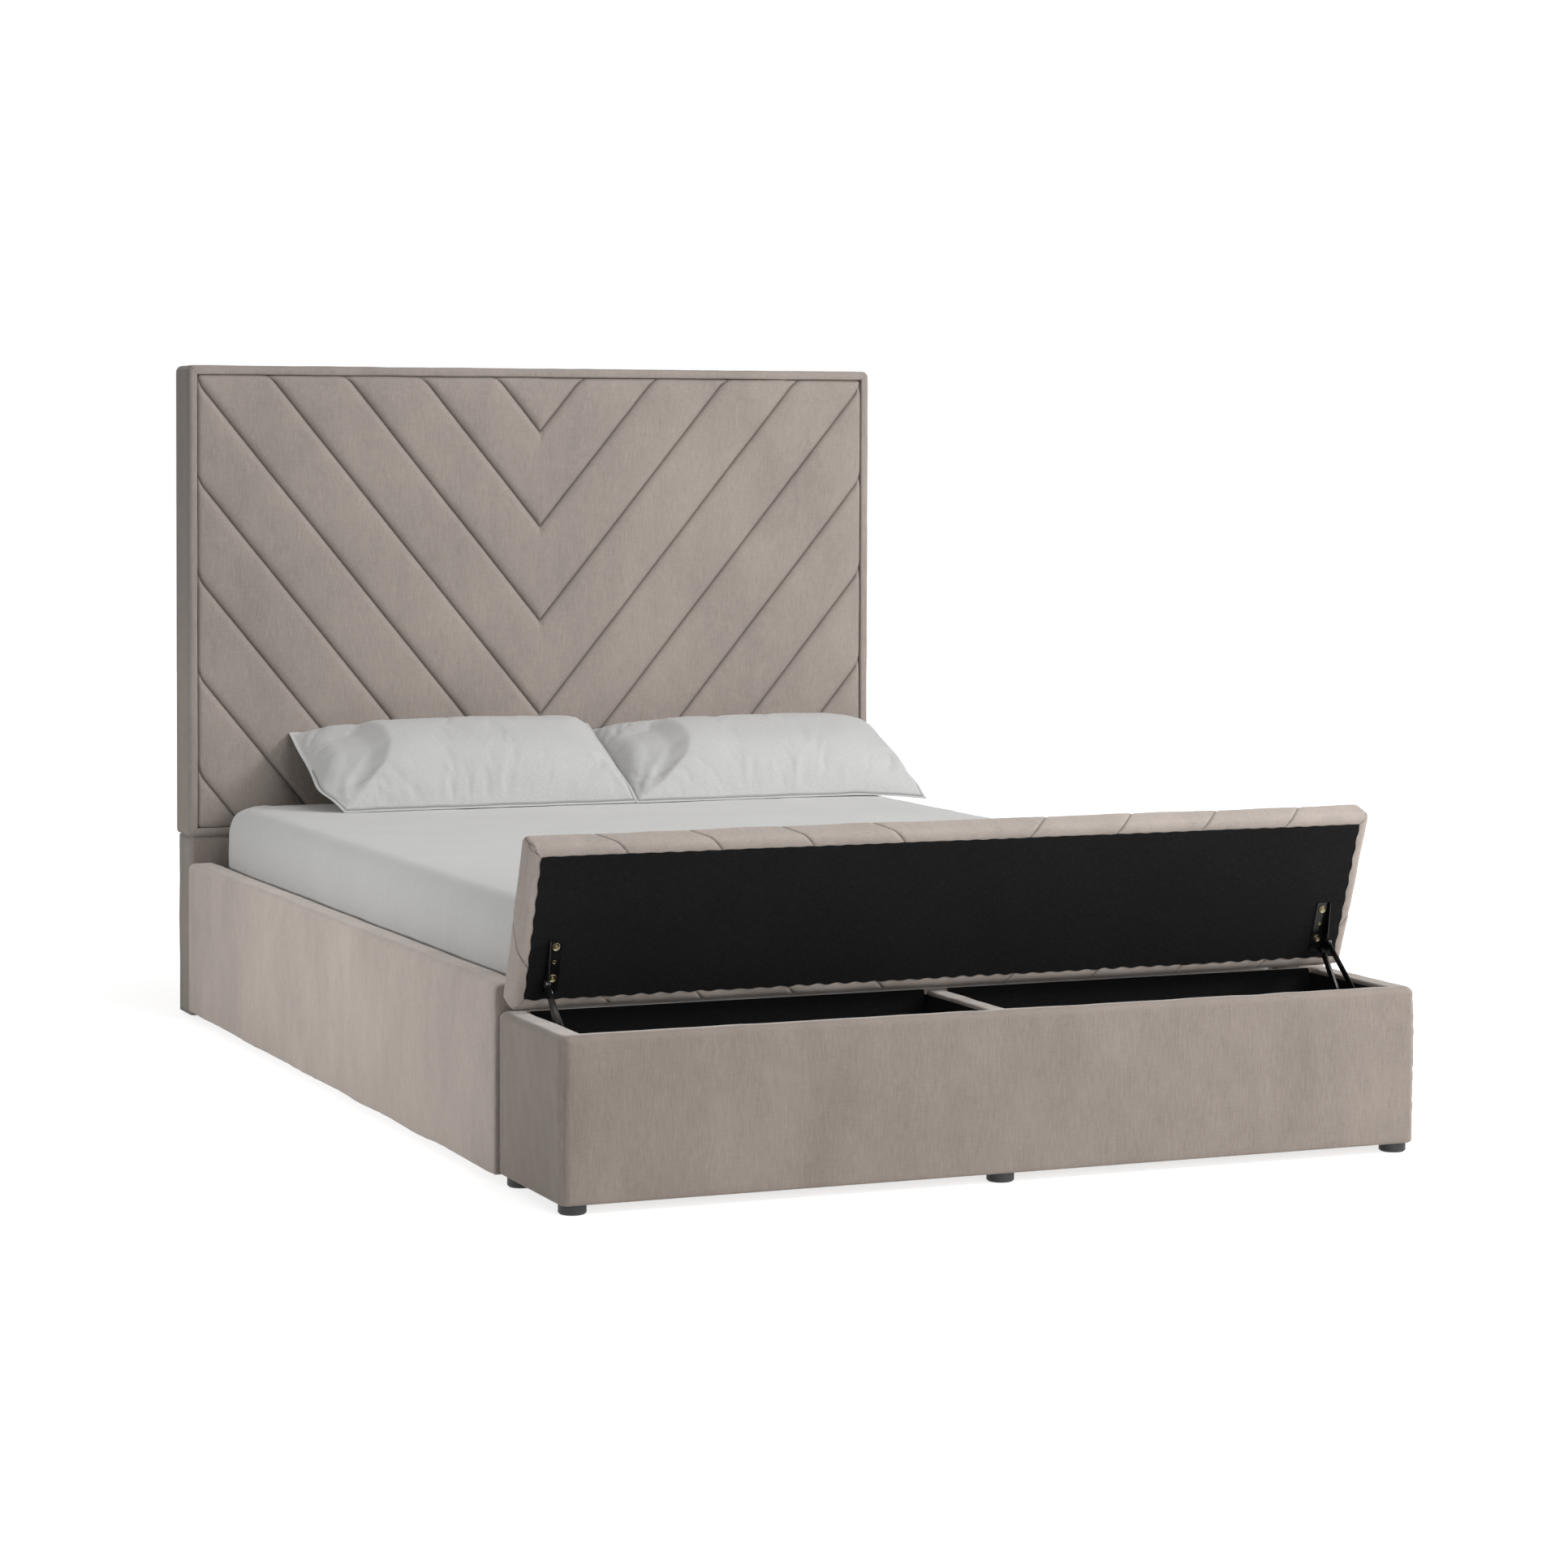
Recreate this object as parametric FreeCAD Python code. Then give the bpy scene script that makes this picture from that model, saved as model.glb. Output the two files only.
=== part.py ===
import FreeCAD
import Part
import cmath
import math
import os

# Upholstered queen storage bed: a chevron headboard, two padded side rails on a slat base,
# and a storage bench at the foot whose padded lid stands open on two lift hinges.
# X runs across the bed, the headboard is at +Y, the bench at -Y, and the floor is z = 0.
# Left is the -X side. Lengths are millimetres. The origin is the middle of the footprint.

# Bed as a whole
OVERRUN = 5.0
SAME_PLACE = 0.01

# Headboard
HEAD_HEIGHT = 1448.0
HEAD_PAD_BOTTOM = 402.0
BORDER_WIDTH = 20.0
BORDER_OUTER_RADIUS = 11.0
BORDER_INNER_RADIUS = 4.0
BORDER_CORNER_RADIUS = 14.0
PANEL_GAP = 0.6
PANEL_THICK = 32.0
PANEL_EDGE_RADIUS = 9.0
HEAD_BOARD_THICK = 12.0
HEAD_TIMBER_DEPTH = 60.0
HEAD_BACK_THICK = 4.0
HEAD_POST_WIDTH = 90.0
HEAD_CROSS_HEIGHT = 60.0
HEAD_CROSS_COUNT = 4
HEAD_SIDE_STEP = 6.0
HEAD_FRONT_STEP = 6.0
LOWER_SIDE_PAD = 12.0
LOWER_EDGE_RADIUS = 8.0
GLIDE_HEIGHT = 6.0
GLIDE_RADIUS = 14.0

# Chevron seams of the headboard
HEAD_SEAM_COLUMNS_SHARE = 4.5
HEAD_SEAM_RISE_SHARE = 1.207
HEAD_SEAM_DROP = 16.0
SEAM_SHOULDER_RADIUS = 26.0
SEAM_DEPTH = 6.5

# Side rails
RAIL_THICK = 60.0
RAIL_BOTTOM = 14.0
RAIL_TOP = 344.0
RAIL_BOARD_THICK = 30.0
RAIL_OUTER_PAD = 21.0
RAIL_TOP_PAD = 18.0
RAIL_BOARD_LIFT = 4.0
RAIL_END_BEVEL = 4.0
RAIL_END_GAP = 10.0
RAIL_TOP_RADIUS = 14.0
RAIL_BOTTOM_RADIUS = 6.0

# Slat base
MATTRESS_BOTTOM = 220.0
SOFT_GAP = 0.3
SLAT_THICK = 18.0
SLAT_WIDTH = 68.0
SLAT_COUNT = 13
SLAT_SIDE_GAP = 2.0
SLAT_END_MARGIN = 60.0
LEDGE_WIDTH = 28.0
LEDGE_HEIGHT = 40.0
LEDGE_END_GAP = 4.0
BEAM_WIDTH = 45.0
BEAM_HEIGHT = 70.0
BEAM_END_GAP = 2.0
HANGER_STEEL = 2.0
HANGER_SEAT = 38.0
HANGER_FLANGE = 24.0
LEG_SIDE = 30.0
LEG_WALL = 1.6
LEG_COUNT = 3
LEG_FLANGE_SIDE = 44.0
LEG_FLANGE_THICK = 3.0
LEG_FOOT_SIDE = 38.0
LEG_FOOT_HEIGHT = 16.0
LEG_FOOT_BEVEL = 3.0

# Rail brackets
BRACKET_STEEL = 3.0
BRACKET_WIDTH = 44.0
BRACKET_HEIGHT = 84.0
BRACKET_DROP = 14.0
BRACKET_BEVEL = 6.0

# Storage bench
BENCH_SIDE_STEP = 7.0
BENCH_DEPTH = 310.0
BENCH_BOTTOM = 17.0
BENCH_TOP = 299.0
BENCH_OUTER_PAD = 12.0
BENCH_TOP_PAD = 9.0
BENCH_LINING = 2.0
BENCH_FRONT_WOOD = 15.0
BENCH_SIDE_WOOD = 31.0
BENCH_BACK_WOOD = 18.0
BENCH_BACK_PAD = 4.0
BENCH_CORNER_RADIUS = 12.0
BENCH_RIM_RADIUS = 9.0
BENCH_RIM_INNER_RADIUS = 7.0
BENCH_HEM_BEVEL = 5.0
BENCH_WOOD_LIFT = 2.0
BOTTOM_BOARD_THICK = 9.0
BATTEN_SIZE = 18.0
DIVIDER_WOOD = 15.0
DIVIDER_PAD = 12.0
DIVIDER_TOP_DROP = 2.0
DIVIDER_TOP_RADIUS = 9.0
LINER_CLOTH = 1.2
LINER_TOP_DROP = 14.0

# Bench feet
FOOT_RADIUS = 24.0
FOOT_BOTTOM_BEVEL = 3.0
FOOT_INSET = 29.0

# Lid
LID_THICK = 52.0
LID_GAP = 1.0
LID_BOARD_THICK = 15.0
LID_SIDE_PAD = 14.0
LID_HEM_CLOTH = 1.5
LID_HEM_WIDTH = 24.0
LID_TOP_RADIUS = 12.0
LID_BOTTOM_BEVEL = 4.0
LID_CORNER_RADIUS = 10.0
DUST_CLOTH = 0.8
DUST_HEM_OVERLAP = 4.0
SCALLOP_PITCH = 36.0
SCALLOP_DEPTH = 1.5
LID_SEAM_PITCH = 173.0
LID_SEAM_RISE_SHARE = 1.207
LID_SEAM_DEPTH = 4.0
LID_SEAM_SHOULDER_RADIUS = 18.0

# Lift hinge: the lid moves from its closed place to an open place that is turned by the
# open angle and shifted forward, so that its back clears the mattress.
# Places on the hinge are (forward from the bench's back, up from the rim).
OPEN_ANGLE = 71.0
OPEN_FORWARD = 58.0
OPEN_RISE = 6.0
ARM_PIN_ALONG_LID = 42.0
ARM_PIN_BELOW_LID = 18.0
STAY_PIN_ALONG_LID = 60.0
STAY_PIN_BELOW_LID = 20.0
ARM_BASE_REACH = 190.0
STAY_BASE_REACH = 215.0
PIN_RADIUS = 4.0
PIN_RUNNING_GAP = 0.05
PIN_HEAD_RADIUS = 6.5
PIN_HEAD_HEIGHT = 1.6
HINGE_STEEL = 2.0
HINGE_SIDE_GAP = 0.5
EYE_RADIUS = 8.5
ARM_WIDTH = 13.0
ARM_DEPTH = 4.5
ARM_WEB = 1.6
ARM_RIB = 1.8
STAY_WIDTH = 12.0
STAY_STEEL = 2.5
STAY_SLOT_GAP = 0.6
STAY_SLOT_WALL = 3.4
SLOT_PIN_HEAD_RADIUS = 10.5
MOTION_STEPS = 20
PLATE_WIDTH = 25.0
PLATE_START = 34.0
PLATE_LENGTH = 100.0
PLATE_CORNER_RADIUS = 3.0
EAR_TIP_DEPTH = 7.0
PLATE_HOLE_PLACE = 92.0
PLATE_HOLE_RADIUS = 3.2
BASE_MARGIN = 17.0
BASE_CORNER_BEVEL = 7.0

# Mattress
MATTRESS_WIDTH = 1524.0
MATTRESS_LENGTH = 2032.0
MATTRESS_THICK = 250.0
MATTRESS_HEAD_GAP = 6.0
MATTRESS_FOOT_GAP = 19.0
MATTRESS_SIDE_GAP = 4.0
MATTRESS_CORNER_RADIUS = 70.0
MATTRESS_EDGE_RADIUS = 28.0
MATTRESS_SIDE_DRAW = 5.0
MATTRESS_CROWN = 7.0
MATTRESS_EDGE_STEPS = 2
CROWN_INSET_SHARE = 0.2

# Pillows
PILLOW_WIDTH = 690.0
PILLOW_DEPTH = 355.0
PILLOW_FRONT_CROWN = 108.0
PILLOW_BACK_CROWN = 58.0
PILLOW_LEAN = 25.0
PILLOW_GAP = 4.0
PILLOW_SHIFT = 99.0
PILLOW_HEM_THICK = 3.0
PILLOW_END_RUN = 195.0
PILLOW_END_ROOM = 4.0
PILLOW_SIDE_DRAW = 7.0
PILLOW_END_DRAW = 6.0

# Places worked out from the sizes above
BED_WIDTH = MATTRESS_WIDTH + 2 * (MATTRESS_SIDE_GAP + RAIL_THICK)
RAIL_RUN = MATTRESS_LENGTH + MATTRESS_HEAD_GAP + MATTRESS_FOOT_GAP
HEAD_THICK = PANEL_THICK + HEAD_BOARD_THICK + HEAD_TIMBER_DEPTH + HEAD_BACK_THICK
OVERALL_LENGTH = HEAD_THICK + RAIL_RUN + BENCH_DEPTH
HEAD_BACK_Y = OVERALL_LENGTH / 2
HEAD_FRONT_Y = HEAD_BACK_Y - HEAD_THICK
BENCH_BACK_Y = HEAD_FRONT_Y - RAIL_RUN
BENCH_FRONT_Y = BENCH_BACK_Y - BENCH_DEPTH
LOWER_FRONT_Y = HEAD_FRONT_Y + HEAD_FRONT_STEP
RAIL_END_Y = BENCH_BACK_Y + RAIL_END_GAP
HALF_BED = BED_WIDTH / 2
HALF_LOWER = HALF_BED - HEAD_SIDE_STEP
RAIL_INNER_X = HALF_BED - RAIL_THICK
SLAT_TOP = MATTRESS_BOTTOM - SOFT_GAP
SLAT_BOTTOM = SLAT_TOP - SLAT_THICK
BEAM_BOTTOM = SLAT_BOTTOM - BEAM_HEIGHT
HALF_BENCH = HALF_BED - BENCH_SIDE_STEP
BENCH_FRONT_WALL = BENCH_OUTER_PAD + BENCH_FRONT_WOOD + BENCH_LINING
BENCH_SIDE_WALL = BENCH_OUTER_PAD + BENCH_SIDE_WOOD + BENCH_LINING
BENCH_BACK_WALL = BENCH_BACK_PAD + BENCH_BACK_WOOD + BENCH_LINING
CAVITY_X = HALF_BENCH - BENCH_SIDE_WALL
CAVITY_FRONT_Y = BENCH_FRONT_Y + BENCH_FRONT_WALL
CAVITY_BACK_Y = BENCH_BACK_Y - BENCH_BACK_WALL
FLOOR_BOARD_BOTTOM = BENCH_BOTTOM + BENCH_WOOD_LIFT + BATTEN_SIZE
FLOOR_BOARD_TOP = FLOOR_BOARD_BOTTOM + BOTTOM_BOARD_THICK
HALF_DIVIDER = DIVIDER_WOOD / 2 + DIVIDER_PAD
LID_BOTTOM = BENCH_TOP + LID_GAP
LID_TOP = LID_BOTTOM + LID_THICK


def vector(x, y, z):
    return FreeCAD.Vector(x, y, z)


def block(x0, x1, y0, y1, z0, z1):
    return Part.makeBox(x1 - x0, y1 - y0, z1 - z0, vector(x0, y0, z0))


def rod(radius, start, end):
    return Part.makeCylinder(radius, (end - start).Length, start, end - start)


def mirrored(shape):
    return shape.mirror(vector(0, 0, 0), vector(1, 0, 0))


def both_sides(shape):
    return [mirrored(shape), shape]


def joined(shapes):
    return shapes[0].fuse(shapes[1:]).removeSplitter()


def edges_at(shape, runs=None, **places):
    """Straight edges that run along an axis, or any edges, that lie at the places given."""
    chosen = []
    for edge in shape.Edges:
        limits = edge.BoundBox
        low = {"x": limits.XMin, "y": limits.YMin, "z": limits.ZMin}
        high = {"x": limits.XMax, "y": limits.YMax, "z": limits.ZMax}
        flat = all(
            abs(low[axis] - place) < SAME_PLACE and abs(high[axis] - place) < SAME_PLACE
            for axis, place in places.items()
        )
        straight = runs is None or all(
            high[axis] - low[axis] < SAME_PLACE for axis in low if axis != runs
        )
        if flat and straight:
            chosen.append(edge)
    return chosen


def rounded(shape, radius, runs=None, **places):
    return shape.makeFillet(radius, edges_at(shape, runs, **places))


def save(name, shapes):
    """Writes one sub-part, which is a solid or a group of separate solids."""
    shape = shapes
    if isinstance(shapes, list):
        shape = Part.makeCompound(shapes)
    shape.exportStep(os.path.join("parts", name + ".step"))


def save_pair(name, right):
    save(name + "_left", mirrored(right))
    save(name + "_right", right)


# Seams: a groove whose two shoulders are round, as padding is where a seam draws it in
def seam_tool(start, end, normal, shoulder, depth):
    run = end - start
    side = run.cross(normal).normalize()
    turn = math.acos((shoulder - depth) / shoulder)
    reach = shoulder * math.sin(turn)
    outline = []
    for hand in (-1, 1):
        edge = start + side * (hand * reach)
        centre = edge - normal * shoulder
        half = side * (-hand * math.sin(turn / 2)) + normal * math.cos(turn / 2)
        outline.append((edge, centre + half * shoulder))
    bottom = start - normal * depth
    rise = normal * OVERRUN
    (left, left_middle), (right, right_middle) = outline
    wire = Part.Wire([
        Part.Arc(left, left_middle, bottom).toShape(),
        Part.Arc(bottom, right_middle, right).toShape(),
        Part.makeLine(right, right + rise),
        Part.makeLine(right + rise, left + rise),
        Part.makeLine(left + rise, left),
    ])
    return Part.Face(wire).extrude(run)


# Headboard
def border_ring():
    """The padded border round the headboard, before it is mitred into four lengths."""
    top = HEAD_HEIGHT
    ring = block(-HALF_BED, HALF_BED, HEAD_FRONT_Y, HEAD_BACK_Y, HEAD_PAD_BOTTOM, top)
    for x in (-HALF_BED, HALF_BED):
        ring = rounded(ring, BORDER_CORNER_RADIUS, "y", x=x, z=top)
        ring = rounded(ring, BORDER_OUTER_RADIUS, "y", x=x, z=HEAD_PAD_BOTTOM)
    ring = rounded(ring, BORDER_OUTER_RADIUS, y=HEAD_FRONT_Y)
    inner_x = HALF_BED - BORDER_WIDTH
    window = block(
        -inner_x, inner_x, HEAD_FRONT_Y - OVERRUN, HEAD_BACK_Y + OVERRUN,
        HEAD_PAD_BOTTOM + BORDER_WIDTH, top - BORDER_WIDTH,
    )
    ring = ring.cut(window)
    inner = [
        edge for edge in edges_at(ring, y=HEAD_FRONT_Y)
        if abs(abs(edge.CenterOfMass.x) - inner_x) < SAME_PLACE
        or abs(edge.CenterOfMass.x) < SAME_PLACE
        and edge.CenterOfMass.z > HEAD_PAD_BOTTOM + BORDER_WIDTH - SAME_PLACE
        and edge.CenterOfMass.z < top - BORDER_WIDTH + SAME_PLACE
    ]
    return ring.makeFillet(BORDER_INNER_RADIUS, inner)


def mitre_wedge(corners):
    """A tall wedge through the headboard whose outline has the given (x, z) corners."""
    start_y = HEAD_FRONT_Y - OVERRUN
    points = [vector(x, start_y, z) for x, z in corners]
    face = Part.Face(Part.makePolygon(points + points[:1]))
    return face.extrude(vector(0, HEAD_THICK + 2 * OVERRUN, 0))


def border_lengths():
    ring = border_ring()
    reach = HALF_BED + OVERRUN
    top = HEAD_HEIGHT
    bottom = HEAD_PAD_BOTTOM
    inner_x = HALF_BED - 2 * BORDER_WIDTH
    inner_top = top - 2 * BORDER_WIDTH
    inner_bottom = bottom + 2 * BORDER_WIDTH
    upper = [(-reach, top + OVERRUN), (reach, top + OVERRUN), (inner_x, inner_top),
             (-inner_x, inner_top)]
    lower = [(-reach, bottom - OVERRUN), (reach, bottom - OVERRUN), (inner_x, inner_bottom),
             (-inner_x, inner_bottom)]
    side = [(reach, top + OVERRUN), (reach, bottom - OVERRUN), (inner_x, inner_bottom),
            (inner_x, inner_top)]
    behind = block(
        -HALF_BED, HALF_BED, HEAD_FRONT_Y + PANEL_THICK, HEAD_BACK_Y + OVERRUN,
        bottom - OVERRUN, inner_bottom)
    lower_length = ring.common(mitre_wedge(lower)).cut(behind)
    upright = ring.common(mitre_wedge(side))
    return ring.common(mitre_wedge(upper)), lower_length, upright


def chevron_panel():
    """The padded panel: seams run down from its top edge and meet in a V at the middle."""
    half = HALF_BED - BORDER_WIDTH - PANEL_GAP
    top = HEAD_HEIGHT - BORDER_WIDTH - PANEL_GAP
    bottom = HEAD_PAD_BOTTOM + BORDER_WIDTH + PANEL_GAP
    pad = block(0, half, HEAD_FRONT_Y, HEAD_FRONT_Y + PANEL_THICK, bottom, top)
    pad = pad.makeFillet(PANEL_EDGE_RADIUS, [
        edge for edge in edges_at(pad, y=HEAD_FRONT_Y) if edge.BoundBox.XMax > SAME_PLACE])
    pitch = half / HEAD_SEAM_COLUMNS_SHARE
    seam_z = top - HEAD_SEAM_DROP
    drop = seam_z - bottom
    count = math.ceil((half + drop / HEAD_SEAM_RISE_SHARE) / pitch - 1 / 2)
    past = SEAM_SHOULDER_RADIUS + HEAD_SEAM_DROP
    for number in range(count):
        seam_x = (number + 1 / 2) * pitch
        upper = vector(seam_x + past / HEAD_SEAM_RISE_SHARE, HEAD_FRONT_Y, seam_z + past)
        lower = vector(
            seam_x - (drop + past) / HEAD_SEAM_RISE_SHARE, HEAD_FRONT_Y, seam_z - drop - past)
        pad = pad.cut(seam_tool(upper, lower, vector(0, -1, 0), SEAM_SHOULDER_RADIUS, SEAM_DEPTH))
    return joined([pad, mirrored(pad)])


def make_headboard():
    upper, lower, upright = border_lengths()
    save("headboard_border_top", upper)
    save("headboard_border_bottom", lower)
    save_pair("headboard_border", upright)
    save("headboard_chevron_panel", chevron_panel())
    inner_x = HALF_BED - BORDER_WIDTH
    inner_top = HEAD_HEIGHT - BORDER_WIDTH
    board_y = HEAD_FRONT_Y + PANEL_THICK
    timber_y = board_y + HEAD_BOARD_THICK
    back_y = timber_y + HEAD_TIMBER_DEPTH
    save("headboard_front_board", block(
        -inner_x, inner_x, board_y, timber_y, GLIDE_HEIGHT, inner_top))
    post_x = HALF_LOWER - LOWER_SIDE_PAD
    post = block(post_x - HEAD_POST_WIDTH, post_x, timber_y, back_y, GLIDE_HEIGHT, inner_top)
    post = post.cut(block(
        inner_x, post_x + OVERRUN, timber_y - OVERRUN, back_y + OVERRUN,
        HEAD_PAD_BOTTOM, inner_top + OVERRUN))
    save("headboard_posts", both_sides(post))
    cross_x = post_x - HEAD_POST_WIDTH
    step = (inner_top - GLIDE_HEIGHT - HEAD_CROSS_HEIGHT) / (HEAD_CROSS_COUNT - 1)
    save("headboard_cross_rails", [
        block(-cross_x, cross_x, timber_y, back_y, GLIDE_HEIGHT + number * step,
              GLIDE_HEIGHT + number * step + HEAD_CROSS_HEIGHT)
        for number in range(HEAD_CROSS_COUNT)
    ])
    back = block(-inner_x, inner_x, back_y, HEAD_BACK_Y, GLIDE_HEIGHT, inner_top)
    save("headboard_back_panel", back)
    save("headboard_lower_cover", lower_cover())
    save("headboard_glides", both_sides(glide(post_x - HEAD_POST_WIDTH / 2,
                                              timber_y + HEAD_TIMBER_DEPTH / 2)))


def lower_cover():
    """The plain padded lower part: a front and two side returns round the posts."""
    inner_x = HALF_BED - BORDER_WIDTH
    cover = block(-HALF_LOWER, HALF_LOWER, LOWER_FRONT_Y, HEAD_BACK_Y, GLIDE_HEIGHT, HEAD_PAD_BOTTOM)
    for x in (-HALF_LOWER, HALF_LOWER):
        cover = rounded(cover, LOWER_EDGE_RADIUS, "z", x=x, y=LOWER_FRONT_Y)
    post_x = HALF_LOWER - LOWER_SIDE_PAD
    timber_y = HEAD_FRONT_Y + PANEL_THICK + HEAD_BOARD_THICK
    back_y = timber_y + HEAD_TIMBER_DEPTH
    board_y = HEAD_FRONT_Y + PANEL_THICK
    cover = cover.cut(block(-inner_x, inner_x, board_y, timber_y, 0, HEAD_HEIGHT))
    cover = cover.cut(block(-post_x, post_x, timber_y, back_y, 0, HEAD_HEIGHT))
    return cover.cut(block(-inner_x, inner_x, back_y, HEAD_BACK_Y + OVERRUN, 0, HEAD_HEIGHT))


def glide(x, y):
    return rod(GLIDE_RADIUS, vector(x, y, 0), vector(x, y, GLIDE_HEIGHT))


# Side rails with their boards, ledges and brackets
def bracket_places():
    """The face that each bracket is bolted to, and the way it runs along the rail."""
    middle_z = SLAT_BOTTOM - LEDGE_HEIGHT - BRACKET_DROP - BRACKET_HEIGHT / 2
    return [(LOWER_FRONT_Y, -1, middle_z), (BENCH_BACK_Y, 1, middle_z)]


def rail_bracket(face_y, way, middle_z):
    low = middle_z - BRACKET_HEIGHT / 2
    high = middle_z + BRACKET_HEIGHT / 2
    inner_x = RAIL_INNER_X - BRACKET_STEEL
    far_y = face_y + way * BRACKET_WIDTH
    along = block(inner_x, RAIL_INNER_X, min(face_y, far_y), max(face_y, far_y), low, high)
    steel_y = face_y + way * BRACKET_STEEL
    across = block(
        RAIL_INNER_X - BRACKET_WIDTH, RAIL_INNER_X, min(face_y, steel_y), max(face_y, steel_y),
        low, high)
    angle = joined([along, across])
    corners = [
        edge for z in (low, high)
        for edge in edges_at(angle, "x", y=far_y, z=z)
        + edges_at(angle, "y", x=RAIL_INNER_X - BRACKET_WIDTH, z=z)
    ]
    return angle.makeChamfer(BRACKET_BEVEL, corners)


def rail_board():
    return block(
        RAIL_INNER_X + RAIL_THICK - RAIL_OUTER_PAD - RAIL_BOARD_THICK,
        RAIL_INNER_X + RAIL_THICK - RAIL_OUTER_PAD,
        RAIL_END_Y + RAIL_BOARD_LIFT, LOWER_FRONT_Y,
        RAIL_BOTTOM + RAIL_BOARD_LIFT, RAIL_TOP - RAIL_TOP_PAD)


def rail_cover():
    cover = block(RAIL_INNER_X, HALF_BED, RAIL_END_Y, LOWER_FRONT_Y, RAIL_BOTTOM, RAIL_TOP)
    cover = rounded(cover, RAIL_TOP_RADIUS, "y", z=RAIL_TOP)
    cover = rounded(cover, RAIL_BOTTOM_RADIUS, "y", z=RAIL_BOTTOM)
    cover = cover.makeChamfer(RAIL_END_BEVEL, edges_at(cover, y=RAIL_END_Y))
    return cover.cut(rail_board())


def make_rails():
    save_pair("rail_board", rail_board())
    save_pair("rail_cover", rail_cover())
    ledge = block(
        RAIL_INNER_X - LEDGE_WIDTH, RAIL_INNER_X, RAIL_END_Y + LEDGE_END_GAP,
        LOWER_FRONT_Y - LEDGE_END_GAP, SLAT_BOTTOM - LEDGE_HEIGHT, SLAT_BOTTOM)
    save_pair("slat_ledge", ledge)
    brackets = [rail_bracket(*place) for place in bracket_places()]
    save("rail_brackets", brackets + [mirrored(bracket) for bracket in brackets])


# Slats, centre beam, its hangers and legs
def make_slat_base():
    reach = RAIL_INNER_X - SLAT_SIDE_GAP
    first = BENCH_BACK_Y + SLAT_END_MARGIN
    last = LOWER_FRONT_Y - SLAT_END_MARGIN - SLAT_WIDTH
    step = (last - first) / (SLAT_COUNT - 1)
    save("slats", [
        block(-reach, reach, first + number * step, first + number * step + SLAT_WIDTH,
              SLAT_BOTTOM, SLAT_TOP)
        for number in range(SLAT_COUNT)
    ])
    half_beam = BEAM_WIDTH / 2
    beam_start = BENCH_BACK_Y + HANGER_STEEL + BEAM_END_GAP
    beam_end = LOWER_FRONT_Y - HANGER_STEEL - BEAM_END_GAP
    save("centre_beam", block(-half_beam, half_beam, beam_start, beam_end, BEAM_BOTTOM, SLAT_BOTTOM))
    save("beam_hangers", [beam_hanger(LOWER_FRONT_Y, -1), beam_hanger(BENCH_BACK_Y, 1)])
    leg_step = (beam_end - beam_start) / (LEG_COUNT + 1)
    places = [beam_start + (number + 1) * leg_step for number in range(LEG_COUNT)]
    save("centre_legs", [centre_leg(y) for y in places])
    save("centre_leg_feet", [leg_foot(y) for y in places])


def beam_hanger(face_y, way):
    """A bent steel hanger: a back plate, and a U that the end of the beam sits in."""
    half = BEAM_WIDTH / 2 + HANGER_STEEL
    floor = BEAM_BOTTOM - HANGER_STEEL
    steel_y = face_y + way * HANGER_STEEL
    seat_y = face_y + way * HANGER_SEAT
    plate = block(
        -half - HANGER_FLANGE, half + HANGER_FLANGE, min(face_y, steel_y), max(face_y, steel_y),
        floor, SLAT_BOTTOM)
    cradle = block(-half, half, min(face_y, seat_y), max(face_y, seat_y), floor, SLAT_BOTTOM)
    beam_room = block(
        -BEAM_WIDTH / 2, BEAM_WIDTH / 2, min(steel_y, seat_y + way * OVERRUN),
        max(steel_y, seat_y + way * OVERRUN), BEAM_BOTTOM, SLAT_BOTTOM + OVERRUN)
    return joined([plate, cradle.cut(beam_room)])


def square_post(y, side, low, high):
    """A square block that stands on the centre line at y."""
    return block(-side / 2, side / 2, y - side / 2, y + side / 2, low, high)


def centre_leg(y):
    """A square steel tube under a flange that is screwed to the beam."""
    top = BEAM_BOTTOM
    tube = square_post(y, LEG_SIDE, LEG_FOOT_HEIGHT, top)
    flange = square_post(y, LEG_FLANGE_SIDE, top - LEG_FLANGE_THICK, top)
    bore = square_post(y, LEG_SIDE - 2 * LEG_WALL, 0, top - LEG_FLANGE_THICK)
    return joined([tube, flange]).cut(bore)


def leg_foot(y):
    foot = square_post(y, LEG_FOOT_SIDE, 0, LEG_FOOT_HEIGHT)
    return foot.makeChamfer(LEG_FOOT_BEVEL, edges_at(foot, z=0))


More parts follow.
